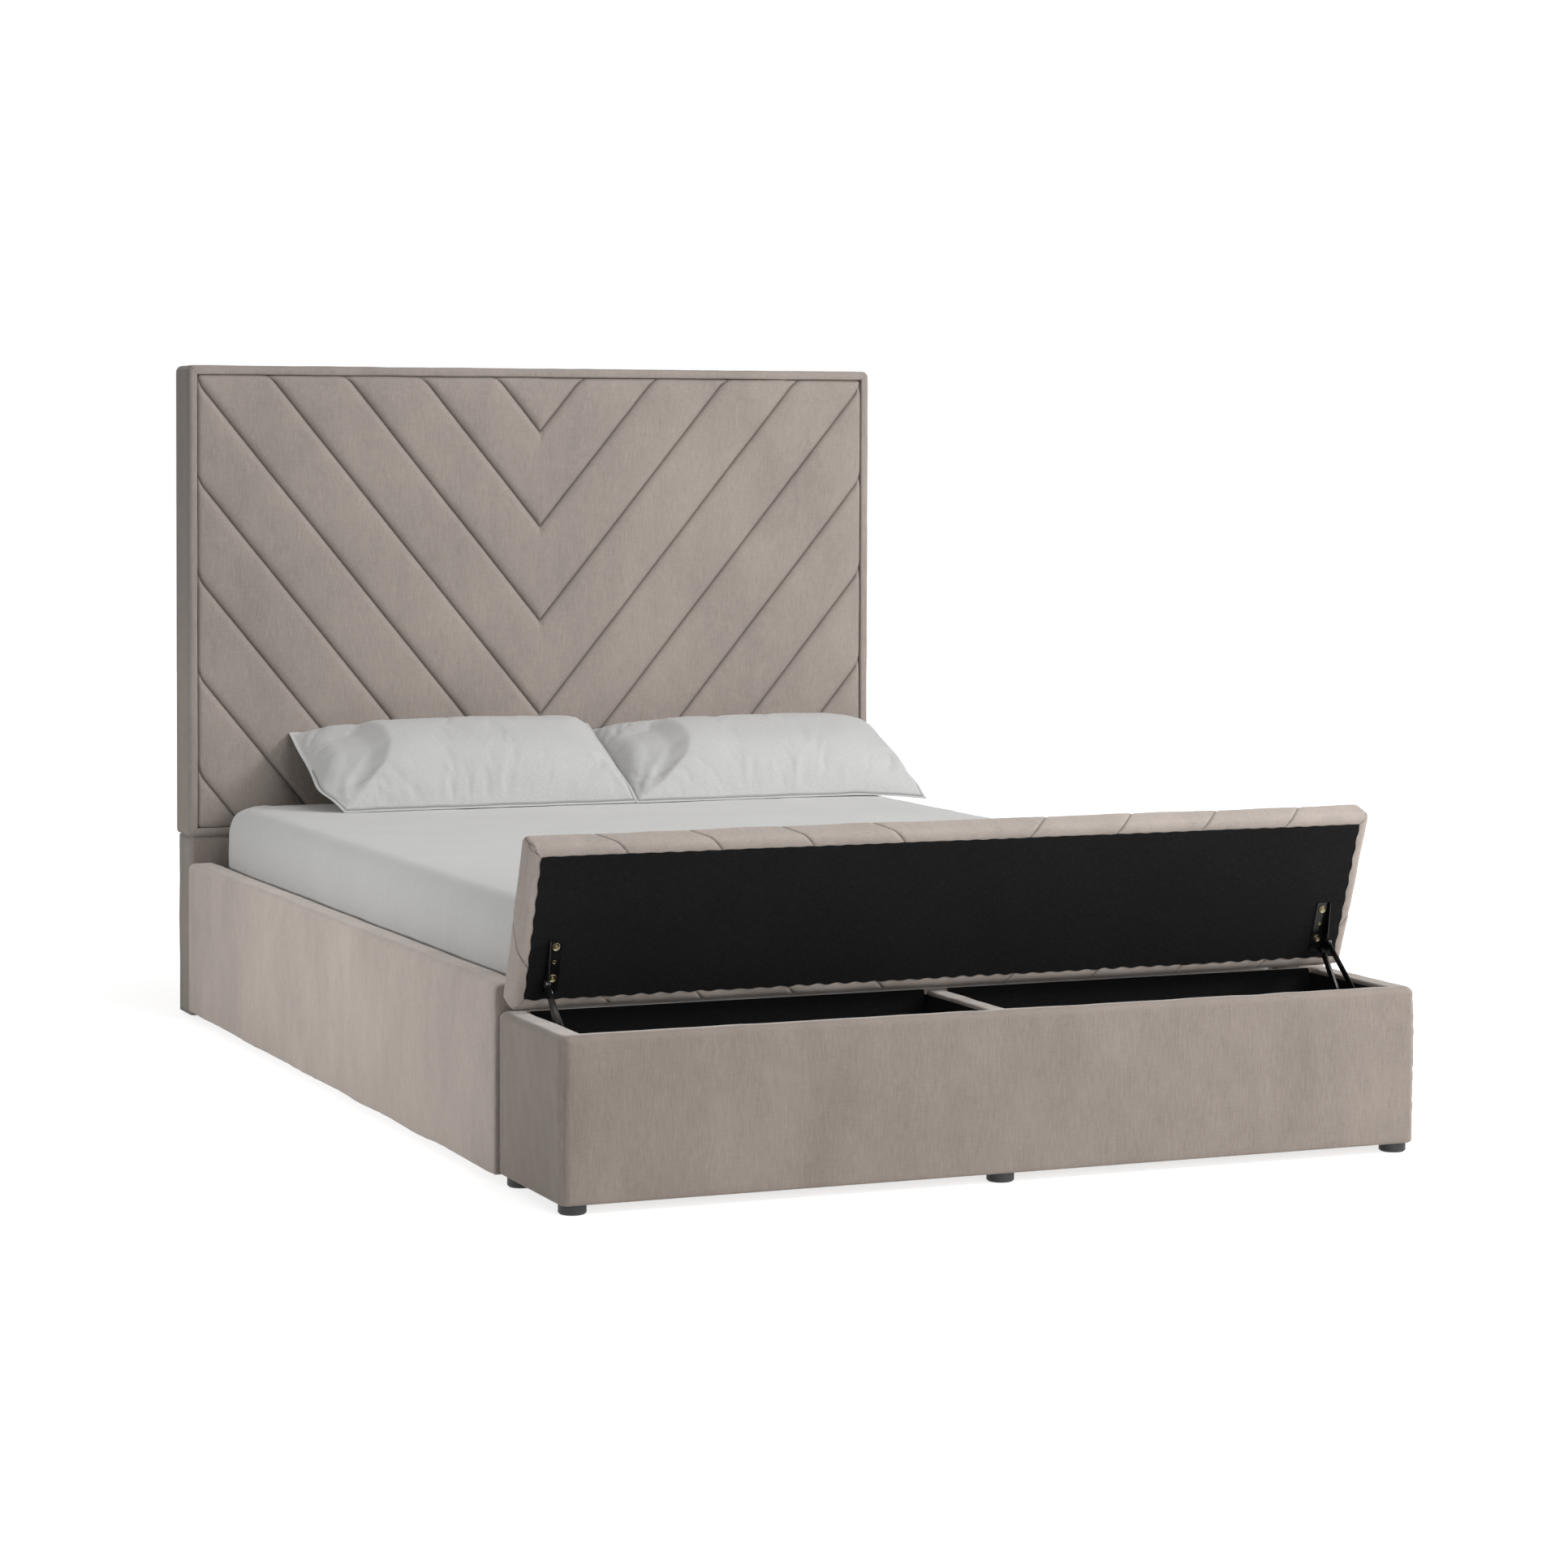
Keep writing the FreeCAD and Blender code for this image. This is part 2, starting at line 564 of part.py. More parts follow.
# Storage bench
def bench_shell():
    """The padded box as one ring with a rounded rim, before it is parted into four walls."""
    shell = block(-HALF_BENCH, HALF_BENCH, BENCH_FRONT_Y, BENCH_BACK_Y, BENCH_BOTTOM, BENCH_TOP)
    for x in (-HALF_BENCH, HALF_BENCH):
        shell = rounded(shell, BENCH_CORNER_RADIUS, "z", x=x, y=BENCH_FRONT_Y)
    shell = rounded(shell, BENCH_RIM_RADIUS, z=BENCH_TOP)
    shell = shell.makeChamfer(BENCH_HEM_BEVEL, edges_at(shell, z=BENCH_BOTTOM))
    cavity = block(
        -CAVITY_X, CAVITY_X, CAVITY_FRONT_Y, CAVITY_BACK_Y,
        BENCH_BOTTOM - OVERRUN, BENCH_TOP + OVERRUN)
    shell = shell.cut(cavity)
    rim = [
        edge for edge in edges_at(shell, z=BENCH_TOP)
        if edge.BoundBox.XMax < CAVITY_X + SAME_PLACE and edge.BoundBox.XMin > -CAVITY_X - SAME_PLACE
        and edge.BoundBox.YMax < CAVITY_BACK_Y + SAME_PLACE
        and edge.BoundBox.YMin > CAVITY_FRONT_Y - SAME_PLACE
    ]
    return shell.makeFillet(BENCH_RIM_INNER_RADIUS, rim)


def bench_boards():
    """The wooden core of each wall: front, back and right-hand side."""
    low = BENCH_BOTTOM + BENCH_WOOD_LIFT
    high = BENCH_TOP - BENCH_TOP_PAD
    wood_x = HALF_BENCH - BENCH_OUTER_PAD
    front_y = BENCH_FRONT_Y + BENCH_OUTER_PAD
    front = block(-wood_x, wood_x, front_y, front_y + BENCH_FRONT_WOOD, low, high)
    back_y = BENCH_BACK_Y - BENCH_BACK_PAD
    back = block(-CAVITY_X, CAVITY_X, back_y - BENCH_BACK_WOOD, back_y, low, high)
    side = block(
        wood_x - BENCH_SIDE_WOOD, wood_x, CAVITY_FRONT_Y, BENCH_BACK_Y - BENCH_BACK_PAD, low, high)
    return front, back, side


def without_board(cover, board):
    """A wall's cover with the pocket for its board, which is open underneath."""
    limits = board.BoundBox
    pocket = block(
        limits.XMin, limits.XMax, limits.YMin, limits.YMax, BENCH_BOTTOM - OVERRUN, limits.ZMax)
    return cover.cut(pocket)


def make_bench():
    shell = bench_shell()
    front_board, back_board, side_board = bench_boards()
    low = BENCH_BOTTOM - OVERRUN
    high = BENCH_TOP + OVERRUN
    reach = HALF_BENCH + OVERRUN
    front = shell.common(block(-reach, reach, BENCH_FRONT_Y - OVERRUN, CAVITY_FRONT_Y, low, high))
    side = shell.common(block(CAVITY_X, reach, CAVITY_FRONT_Y, BENCH_BACK_Y + OVERRUN, low, high))
    back = shell.common(
        block(-CAVITY_X, CAVITY_X, CAVITY_FRONT_Y, BENCH_BACK_Y + OVERRUN, low, high))
    save("bench_front_board", front_board)
    save("bench_back_board", back_board)
    save_pair("bench_side_board", side_board)
    save("bench_front_cover", without_board(front, front_board))
    save("bench_back_cover", without_board(back, back_board))
    save_pair("bench_side_cover", without_board(side, side_board))
    floor = block(
        -CAVITY_X, CAVITY_X, CAVITY_FRONT_Y, CAVITY_BACK_Y, FLOOR_BOARD_BOTTOM, FLOOR_BOARD_TOP)
    save("bench_bottom_board", floor)
    save("bench_bottom_battens", bottom_battens())
    save("bench_divider_board", divider_board())
    save("bench_divider_cover", divider_cover())
    save_pair("box_liner", box_liner())


def bottom_battens():
    """Strips on the inside of the walls that carry the box's floor."""
    low = BENCH_BOTTOM + BENCH_WOOD_LIFT
    high = FLOOR_BOARD_BOTTOM
    front = block(-CAVITY_X, CAVITY_X, CAVITY_FRONT_Y, CAVITY_FRONT_Y + BATTEN_SIZE, low, high)
    back = block(-CAVITY_X, CAVITY_X, CAVITY_BACK_Y - BATTEN_SIZE, CAVITY_BACK_Y, low, high)
    middle = block(
        -BATTEN_SIZE, BATTEN_SIZE, CAVITY_FRONT_Y + BATTEN_SIZE, CAVITY_BACK_Y - BATTEN_SIZE,
        low, high)
    return [front, back, middle]


def divider_board():
    return block(
        -DIVIDER_WOOD / 2, DIVIDER_WOOD / 2, CAVITY_FRONT_Y, CAVITY_BACK_Y,
        FLOOR_BOARD_TOP, BENCH_TOP - DIVIDER_TOP_DROP - BENCH_TOP_PAD)


def divider_cover():
    cover = block(
        -HALF_DIVIDER, HALF_DIVIDER, CAVITY_FRONT_Y, CAVITY_BACK_Y,
        FLOOR_BOARD_TOP, BENCH_TOP - DIVIDER_TOP_DROP)
    cover = rounded(cover, DIVIDER_TOP_RADIUS, "y", z=BENCH_TOP - DIVIDER_TOP_DROP)
    return cover.cut(divider_board())


def box_liner():
    """Black cloth that lines one half of the box: a floor and four walls."""
    top = BENCH_TOP - LINER_TOP_DROP
    tub = block(HALF_DIVIDER, CAVITY_X, CAVITY_FRONT_Y, CAVITY_BACK_Y, FLOOR_BOARD_TOP, top)
    room = block(
        HALF_DIVIDER + LINER_CLOTH, CAVITY_X - LINER_CLOTH, CAVITY_FRONT_Y + LINER_CLOTH,
        CAVITY_BACK_Y - LINER_CLOTH, FLOOR_BOARD_TOP + LINER_CLOTH, top + OVERRUN)
    return tub.cut(room)


# Bench feet
def foot_places():
    """The middle of each foot on the right-hand side and on the centre line."""
    front_y = BENCH_FRONT_Y + FOOT_INSET
    back_y = BENCH_BACK_Y - FOOT_INSET
    side_x = HALF_BENCH - FOOT_INSET
    return [(side_x, front_y), (side_x, back_y), (-side_x, front_y), (-side_x, back_y),
            (0, front_y), (0, back_y)]


def bench_foot(x, y):
    """A turned plastic foot with a bevelled edge at the floor."""
    base = rod(FOOT_RADIUS, vector(x, y, 0), vector(x, y, BENCH_BOTTOM))
    return base.makeChamfer(FOOT_BOTTOM_BEVEL, edges_at(base, z=0))


# Lid, modelled closed and then turned to its open place
def lid_board():
    low = LID_BOTTOM + DUST_CLOTH + LID_HEM_CLOTH
    reach = HALF_BENCH - LID_SIDE_PAD
    return block(
        -reach, reach, BENCH_FRONT_Y + LID_SIDE_PAD, BENCH_BACK_Y - LID_SIDE_PAD,
        low, low + LID_BOARD_THICK)


def lid_seams():
    """Seam lines on the right half, as (start, end, normal), on the top and on the boxing."""
    run = BENCH_DEPTH / LID_SEAM_RISE_SHARE
    lean = LID_THICK / LID_SEAM_RISE_SHARE
    side_lean = LID_THICK * LID_SEAM_RISE_SHARE
    first = -math.floor(run / LID_SEAM_PITCH)
    last = math.floor((HALF_BENCH - LID_CORNER_RADIUS) / LID_SEAM_PITCH)
    seams = []
    for number in range(first, last + 1):
        free_x = number * LID_SEAM_PITCH
        free = vector(free_x, BENCH_FRONT_Y, LID_TOP)
        back = vector(free_x + run, BENCH_BACK_Y, LID_TOP)
        seams.append((free, back, vector(0, 0, 1)))
        if free_x > LID_CORNER_RADIUS:
            seams.append((free, free + vector(-lean, 0, -LID_THICK), vector(0, -1, 0)))
        if back.x < HALF_BENCH - LID_CORNER_RADIUS - lean:
            seams.append((back, back + vector(lean, 0, -LID_THICK), vector(0, 1, 0)))
        side_y = BENCH_FRONT_Y + (HALF_BENCH - free_x) * LID_SEAM_RISE_SHARE
        if side_y < BENCH_BACK_Y - LID_CORNER_RADIUS:
            side = vector(HALF_BENCH, side_y, LID_TOP)
            seams.append((side, side + vector(0, side_lean, -LID_THICK), vector(1, 0, 0)))
    return [lengthened(*seam) for seam in seams]


def lengthened(start, end, normal):
    """A seam line that runs past both ends by the seam's shoulder."""
    past = (end - start).normalize() * LID_SEAM_SHOULDER_RADIUS
    return start - past, end + past, normal


def lid_pad():
    """Padding and cover: channels on the top run over the boxing to the hem underneath."""
    low = LID_BOTTOM + DUST_CLOTH
    pad = block(0, HALF_BENCH, BENCH_FRONT_Y, BENCH_BACK_Y, low, LID_TOP)
    for y in (BENCH_FRONT_Y, BENCH_BACK_Y):
        pad = rounded(pad, LID_CORNER_RADIUS, "z", x=HALF_BENCH, y=y)
    outer = [edge for edge in edges_at(pad, z=LID_TOP) if edge.BoundBox.XMax > SAME_PLACE]
    pad = pad.makeFillet(LID_TOP_RADIUS, outer)
    hem = [edge for edge in edges_at(pad, z=low) if edge.BoundBox.XMax > SAME_PLACE]
    pad = pad.makeChamfer(LID_BOTTOM_BEVEL, hem)
    for start, end, normal in lid_seams():
        pad = pad.cut(seam_tool(start, end, normal, LID_SEAM_SHOULDER_RADIUS, LID_SEAM_DEPTH))
    pad = joined([pad, mirrored(pad)]).cut(lid_board())
    reach = HALF_BENCH - LID_HEM_WIDTH
    window = block(
        -reach, reach, BENCH_FRONT_Y + LID_HEM_WIDTH, BENCH_BACK_Y - LID_HEM_WIDTH,
        low - OVERRUN, low + LID_HEM_CLOTH)
    return pad.cut(window)


def scalloped_side(start, end):
    """Arcs from corner to corner: a cloth edge that is drawn in between its staples."""
    run = end - start
    count = max(1, round(run.Length / SCALLOP_PITCH))
    step = run / count
    inward = vector(-run.y, run.x, 0).normalize() * SCALLOP_DEPTH
    edges = []
    for number in range(count):
        left = start + step * number
        edges.append(Part.Arc(left, left + step / 2 + inward, left + step).toShape())
    return edges


def dust_cover():
    margin = LID_HEM_WIDTH - DUST_HEM_OVERLAP
    reach = HALF_BENCH - margin
    front = BENCH_FRONT_Y + margin
    back = BENCH_BACK_Y - margin
    corners = [vector(-reach, front, LID_BOTTOM), vector(reach, front, LID_BOTTOM),
               vector(reach, back, LID_BOTTOM), vector(-reach, back, LID_BOTTOM)]
    edges = []
    for number, corner in enumerate(corners):
        edges.extend(scalloped_side(corner, corners[(number + 1) % len(corners)]))
    return Part.Face(Part.Wire(edges)).extrude(vector(0, 0, DUST_CLOTH))


# Lift hinge geometry in the plane of the bench's side, as complex numbers:
# the real part is forward from the bench's back and the imaginary part is up from the rim
TURN = cmath.exp(1j * math.radians(OPEN_ANGLE))
CLOSED_CORNER = complex(0, LID_GAP)
OPEN_CORNER = complex(OPEN_FORWARD, OPEN_RISE)
POLE = (OPEN_CORNER - TURN * CLOSED_CORNER) / (1 - TURN)


def closed_place(along, below):
    return CLOSED_CORNER + complex(along, -below)


def open_place(along, below):
    return OPEN_CORNER + TURN * complex(along, -below)


def base_place(along, below, reach):
    """A fixed pivot that is as far from the lid's pin when open as when closed."""
    middle = (closed_place(along, below) + open_place(along, below)) / 2
    way = (middle - POLE) / abs(middle - POLE)
    return POLE + way * reach


ARM_TOP = open_place(ARM_PIN_ALONG_LID, ARM_PIN_BELOW_LID)
STAY_TOP = open_place(STAY_PIN_ALONG_LID, STAY_PIN_BELOW_LID)
ARM_BASE = base_place(ARM_PIN_ALONG_LID, ARM_PIN_BELOW_LID, ARM_BASE_REACH)
STAY_BASE = base_place(STAY_PIN_ALONG_LID, STAY_PIN_BELOW_LID, STAY_BASE_REACH)
ARM_TOP_CLOSED = closed_place(ARM_PIN_ALONG_LID, ARM_PIN_BELOW_LID)
STAY_TOP_CLOSED = closed_place(STAY_PIN_ALONG_LID, STAY_PIN_BELOW_LID)
ARM_SWING = cmath.phase((ARM_TOP_CLOSED - ARM_BASE) / (ARM_TOP - ARM_BASE))
STAY_SWING = cmath.phase((STAY_TOP_CLOSED - STAY_BASE) / (STAY_TOP - STAY_BASE))
STAY_WAY = (STAY_TOP - STAY_BASE) / abs(STAY_TOP - STAY_BASE)


def fixed_pin_on_stay():
    """Where the fixed pin lies on the strap while the lid closes, each link at a steady rate."""
    places = []
    for step in range(MOTION_STEPS + 1):
        share = step / MOTION_STEPS
        arm = (ARM_TOP - ARM_BASE) * cmath.exp(1j * ARM_SWING * share)
        lid = (STAY_TOP - ARM_TOP) * TURN ** -share
        stay_turn = cmath.exp(1j * STAY_SWING * share)
        low = ARM_BASE + arm + lid + (STAY_BASE - STAY_TOP) * stay_turn
        places.append((STAY_BASE - low) / (STAY_WAY * stay_turn))
    return places

# The hinge's layers, from the side wall inwards
BASE_OUTER_X = CAVITY_X - LINER_CLOTH
BASE_INNER_X = BASE_OUTER_X - HINGE_STEEL
STAY_OUTER_X = BASE_INNER_X - PIN_HEAD_HEIGHT - HINGE_SIDE_GAP
STAY_INNER_X = STAY_OUTER_X - STAY_STEEL
EAR_OUTER_X = STAY_INNER_X - HINGE_SIDE_GAP
EAR_INNER_X = EAR_OUTER_X - HINGE_STEEL
ARM_OUTER_X = EAR_INNER_X - HINGE_SIDE_GAP
ARM_INNER_X = ARM_OUTER_X - ARM_DEPTH


def at(place, x):
    """A place in the hinge's plane as a point at x."""
    return vector(x, BENCH_BACK_Y - place.real, BENCH_TOP + place.imag)


def pin(place, inner_x, outer_x, head_x, head_radius):
    """A rivet with its head at head_x, which is one of its ends."""
    shank = rod(PIN_RADIUS, at(place, inner_x), at(place, outer_x))
    way = 1
    if head_x == inner_x:
        way = -1
    head = rod(head_radius, at(place, head_x), at(place, head_x + way * PIN_HEAD_HEIGHT))
    return joined([shank, head])


def bar(start, end, radius, x0, x1):
    """A flat bar with round ends about two places in the hinge's plane."""
    way = (end - start) / abs(end - start)
    side = way * 1j * radius
    points = [at(place, x0) for place in (
        start + side, end + side, end + way * radius, end - side, start - side,
        start - way * radius)]
    wire = Part.Wire([
        Part.makeLine(points[0], points[1]),
        Part.Arc(points[1], points[2], points[3]).toShape(),
        Part.makeLine(points[3], points[4]),
        Part.Arc(points[4], points[5], points[0]).toShape(),
    ])
    return Part.Face(wire).extrude(vector(x1 - x0, 0, 0))


def hole(place, radius, x0, x1):
    return rod(radius, at(place, x0 - OVERRUN), at(place, x1 + OVERRUN))


def lift_arm():
    """A pressed channel with a rib along it and a full-depth eye round each pin."""
    body = bar(ARM_BASE, ARM_TOP, ARM_WIDTH / 2, ARM_INNER_X, ARM_OUTER_X)
    way = (ARM_TOP - ARM_BASE) / abs(ARM_TOP - ARM_BASE)
    inset = way * (EYE_RADIUS + ARM_WIDTH / 2)
    trough = bar(
        ARM_BASE + inset, ARM_TOP - inset, ARM_WIDTH / 2 - ARM_WEB,
        ARM_INNER_X - OVERRUN, ARM_OUTER_X - ARM_WEB)
    rib = bar(ARM_BASE + inset, ARM_TOP - inset, ARM_RIB / 2, ARM_INNER_X + ARM_WEB, ARM_OUTER_X)
    eyes = [hole(place, EYE_RADIUS, ARM_INNER_X + OVERRUN, ARM_OUTER_X - OVERRUN)
            for place in (ARM_BASE, ARM_TOP)]
    arm = joined([body.cut(trough), rib] + eyes)
    bores = [hole(place, PIN_RADIUS + PIN_RUNNING_GAP, ARM_INNER_X, ARM_OUTER_X)
             for place in (ARM_BASE, ARM_TOP)]
    return arm.cut(bores)


def stay_strap():
    """A flat strap: a close eye at the lid, and at the base a slot that takes up lost motion."""
    places = fixed_pin_on_stay()
    along = [place.real for place in places]
    across = [place.imag for place in places]
    middle = 1j * (min(across) + max(across)) / 2
    slot_start = STAY_BASE + STAY_WAY * (min(along) + middle)
    slot_end = STAY_BASE + STAY_WAY * (max(along) + middle)
    slot_radius = PIN_RADIUS + (max(across) - min(across)) / 2 + STAY_SLOT_GAP
    body = bar(STAY_BASE, STAY_TOP, STAY_WIDTH / 2, STAY_INNER_X, STAY_OUTER_X)
    eye = hole(STAY_TOP, EYE_RADIUS, STAY_INNER_X + OVERRUN, STAY_OUTER_X - OVERRUN)
    slot_eye = bar(slot_start, slot_end, slot_radius + STAY_SLOT_WALL, STAY_INNER_X, STAY_OUTER_X)
    slot = bar(slot_start, slot_end, slot_radius, STAY_INNER_X - OVERRUN, STAY_OUTER_X + OVERRUN)
    bore = hole(STAY_TOP, PIN_RADIUS + PIN_RUNNING_GAP, STAY_INNER_X, STAY_OUTER_X)
    return joined([body, eye, slot_eye]).cut([slot, bore])


def lid_plate():
    """A bent plate: a flange under the lid and an ear that carries both of the lid's pins."""
    flange = block(
        EAR_OUTER_X - PLATE_WIDTH, EAR_OUTER_X, BENCH_BACK_Y - PLATE_START - PLATE_LENGTH,
        BENCH_BACK_Y - PLATE_START, LID_BOTTOM - HINGE_STEEL, LID_BOTTOM)
    for y in (BENCH_BACK_Y - PLATE_START, BENCH_BACK_Y - PLATE_START - PLATE_LENGTH):
        flange = rounded(flange, PLATE_CORNER_RADIUS, "z", x=EAR_OUTER_X - PLATE_WIDTH, y=y)
    start = closed_place(PLATE_START, 0)
    end = closed_place(PLATE_START + PLATE_LENGTH, 0)
    outline = [
        start, end, end - complex(0, EAR_TIP_DEPTH), STAY_TOP_CLOSED + complex(EYE_RADIUS, 0),
        STAY_TOP_CLOSED - complex(0, EYE_RADIUS), ARM_TOP_CLOSED - complex(0, EYE_RADIUS),
        ARM_TOP_CLOSED - complex(EYE_RADIUS, 0)]
    points = [at(place, EAR_INNER_X) for place in outline]
    ear = Part.Face(Part.makePolygon(points + points[:1])).extrude(vector(HINGE_STEEL, 0, 0))
    nose = bar(ARM_TOP_CLOSED, STAY_TOP_CLOSED, EYE_RADIUS, EAR_INNER_X, EAR_OUTER_X)
    plate = joined([flange, ear, nose])
    return plate.cut([
        rod(PLATE_HOLE_RADIUS, plate_point(PLATE_HOLE_PLACE) - vector(0, 0, OVERRUN),
            plate_point(PLATE_HOLE_PLACE) + vector(0, 0, OVERRUN))])


def plate_point(along):
    return vector(EAR_INNER_X - (PLATE_WIDTH - HINGE_STEEL) / 2, BENCH_BACK_Y - along, LID_BOTTOM)


def base_plate():
    """A plate on the side wall behind both fixed pivots."""
    low_y = BENCH_BACK_Y - max(ARM_BASE.real, STAY_BASE.real) - BASE_MARGIN
    high_y = BENCH_BACK_Y - min(ARM_BASE.real, STAY_BASE.real) + BASE_MARGIN
    low_z = BENCH_TOP + min(ARM_BASE.imag, STAY_BASE.imag) - BASE_MARGIN
    high_z = BENCH_TOP + max(ARM_BASE.imag, STAY_BASE.imag) + BASE_MARGIN
    plate = block(BASE_INNER_X, BASE_OUTER_X, low_y, high_y, low_z, high_z)
    return plate.makeChamfer(BASE_CORNER_BEVEL, edges_at(plate, "x"))


def lid_pins():
    arm_end = ARM_INNER_X - HINGE_SIDE_GAP
    stay_end = STAY_OUTER_X + HINGE_SIDE_GAP
    return [pin(ARM_TOP_CLOSED, arm_end, EAR_INNER_X, arm_end, PIN_HEAD_RADIUS),
            pin(STAY_TOP_CLOSED, EAR_OUTER_X, stay_end, stay_end, PIN_HEAD_RADIUS)]


def base_pins():
    arm_end = ARM_INNER_X - HINGE_SIDE_GAP
    stay_end = STAY_INNER_X - HINGE_SIDE_GAP
    return [pin(ARM_BASE, arm_end, BASE_INNER_X, arm_end, PIN_HEAD_RADIUS),
            pin(STAY_BASE, stay_end, BASE_INNER_X, stay_end, SLOT_PIN_HEAD_RADIUS)]


def opened(shape):
    """A shape of the closed lid, turned to the lid's open place."""
    moved = shape.copy()
    moved.rotate(at(POLE, 0), vector(1, 0, 0), -OPEN_ANGLE)
    return moved


def make_lid_and_hinges():
    pins = lid_pins()
    save("lid_board", opened(lid_board()))
    save("lid_pad", opened(lid_pad()))
    save("lid_dust_cover", opened(dust_cover()))
    save_pair("lid_plate", opened(lid_plate()))
    save("lid_pivot_pins", [opened(item) for item in pins + [mirrored(item) for item in pins]])
    save_pair("lift_arm", lift_arm())
    save_pair("stay_strap", stay_strap())
    save_pair("base_plate", base_plate())
    fixed = base_pins()
    save("base_pivot_pins", fixed + [mirrored(item) for item in fixed])


# Mattress and pillows
def rounded_rectangle(half_x, half_y, corner, centre_y, z):
    """A closed outline of four lines and four quarter circles."""
    bend = corner * (1 - math.sqrt(1 / 2))
    edges = []
    corners = [(1, 1), (-1, 1), (-1, -1), (1, -1)]
    starts = []
    for sx, sy in corners:
        along_x = vector(sx * (half_x - corner), centre_y + sy * half_y, z)
        along_y = vector(sx * half_x, centre_y + sy * (half_y - corner), z)
        middle = vector(sx * (half_x - bend), centre_y + sy * (half_y - bend), z)
        if sx * sy > 0:
            starts.append((along_y, middle, along_x))
        else:
            starts.append((along_x, middle, along_y))
    for number, (first, middle, second) in enumerate(starts):
        edges.append(Part.Arc(first, middle, second).toShape())
        edges.append(Part.makeLine(second, starts[(number + 1) % len(starts)][0]))
    return Part.Wire(edges)


def mattress():
    """Rolled edges, sides drawn in at mid height and a gently crowned top."""
    half_x = MATTRESS_WIDTH / 2
    half_y = MATTRESS_LENGTH / 2
    centre_y = HEAD_FRONT_Y - MATTRESS_HEAD_GAP - half_y
    top = MATTRESS_BOTTOM + MATTRESS_THICK
    edge = MATTRESS_EDGE_RADIUS
    levels = []
    for step in range(MATTRESS_EDGE_STEPS + 1):
        angle = math.pi / 2 * step / MATTRESS_EDGE_STEPS
        levels.append((edge * (1 - math.sin(angle)), MATTRESS_BOTTOM + edge * (1 - math.cos(angle))))
    levels.append((MATTRESS_SIDE_DRAW, (MATTRESS_BOTTOM + top) / 2))
    for step in range(MATTRESS_EDGE_STEPS + 1):
        angle = math.pi / 2 * (1 - step / MATTRESS_EDGE_STEPS)
        levels.append((edge * (1 - math.sin(angle)), top - edge * (1 - math.cos(angle))))
    sections = [
        rounded_rectangle(half_x - inset, half_y - inset, MATTRESS_CORNER_RADIUS, centre_y, z)
        for inset, z in levels
    ]
    inset = half_x * CROWN_INSET_SHARE
    sections.append(rounded_rectangle(
        half_x - inset, half_y - inset, MATTRESS_CORNER_RADIUS, centre_y, top + MATTRESS_CROWN))
    return Part.makeLoft(sections, True, True)


def crowned_span(half, height, side):
    """An arc from hem to hem, with its crown in the middle, as (across, up) places."""
    hem = side * PILLOW_HEM_THICK / 2
    return [(-half, hem), (0, side * height), (half, hem)]


def rising_end(half, height, hand, side):
    """An arc from an end's hem up to where the pillow is level."""
    hem = PILLOW_HEM_THICK / 2
    rise = height - hem
    radius = (PILLOW_END_RUN ** 2 + rise ** 2) / (2 * rise)
    turn = math.asin(PILLOW_END_RUN / radius) / 2
    start = half - PILLOW_END_RUN
    middle = (hand * (start + radius * math.sin(turn)),
              side * (height - radius * (1 - math.cos(turn))))
    return [(hand * half, side * hem), middle, (hand * start, side * height)]


def outline_of(runs, placed):
    """A closed face from runs of two points (a line) or three (an arc)."""
    edges = []
    for run in runs:
        points = [placed(*place) for place in run]
        if len(points) == 2:
            edges.append(Part.makeLine(*points))
        else:
            edges.append(Part.Arc(*points).toShape())
    return Part.Face(Part.Wire(edges))


def drawn_in(corners, draws):
    """Sides between corners that curve inwards, each by its own draw, as arcs."""
    runs = []
    for number, draw in enumerate(draws):
        start = corners[number]
        end = corners[(number + 1) % len(corners)]
        middle = [(first + second) / 2 for first, second in zip(start, end)]
        length = math.hypot(*middle)
        runs.append([start, tuple(value * (1 - draw / length) for value in middle), end])
    return runs


def pillow_ends():
    """The pillow from the front: level in the middle, falling to a thin hem at both ends."""
    half = PILLOW_WIDTH / 2
    front = PILLOW_FRONT_CROWN + PILLOW_END_ROOM
    back = PILLOW_BACK_CROWN + PILLOW_END_ROOM
    arcs = [rising_end(half, front, -1, 1), rising_end(half, front, 1, 1)[::-1],
            rising_end(half, back, 1, -1), rising_end(half, back, -1, -1)[::-1]]
    runs = []
    for number, arc in enumerate(arcs):
        runs.append(arc)
        runs.append([arc[-1], arcs[(number + 1) % len(arcs)][0]])
    return outline_of(runs, lambda across, up: vector(across, -PILLOW_DEPTH, up))


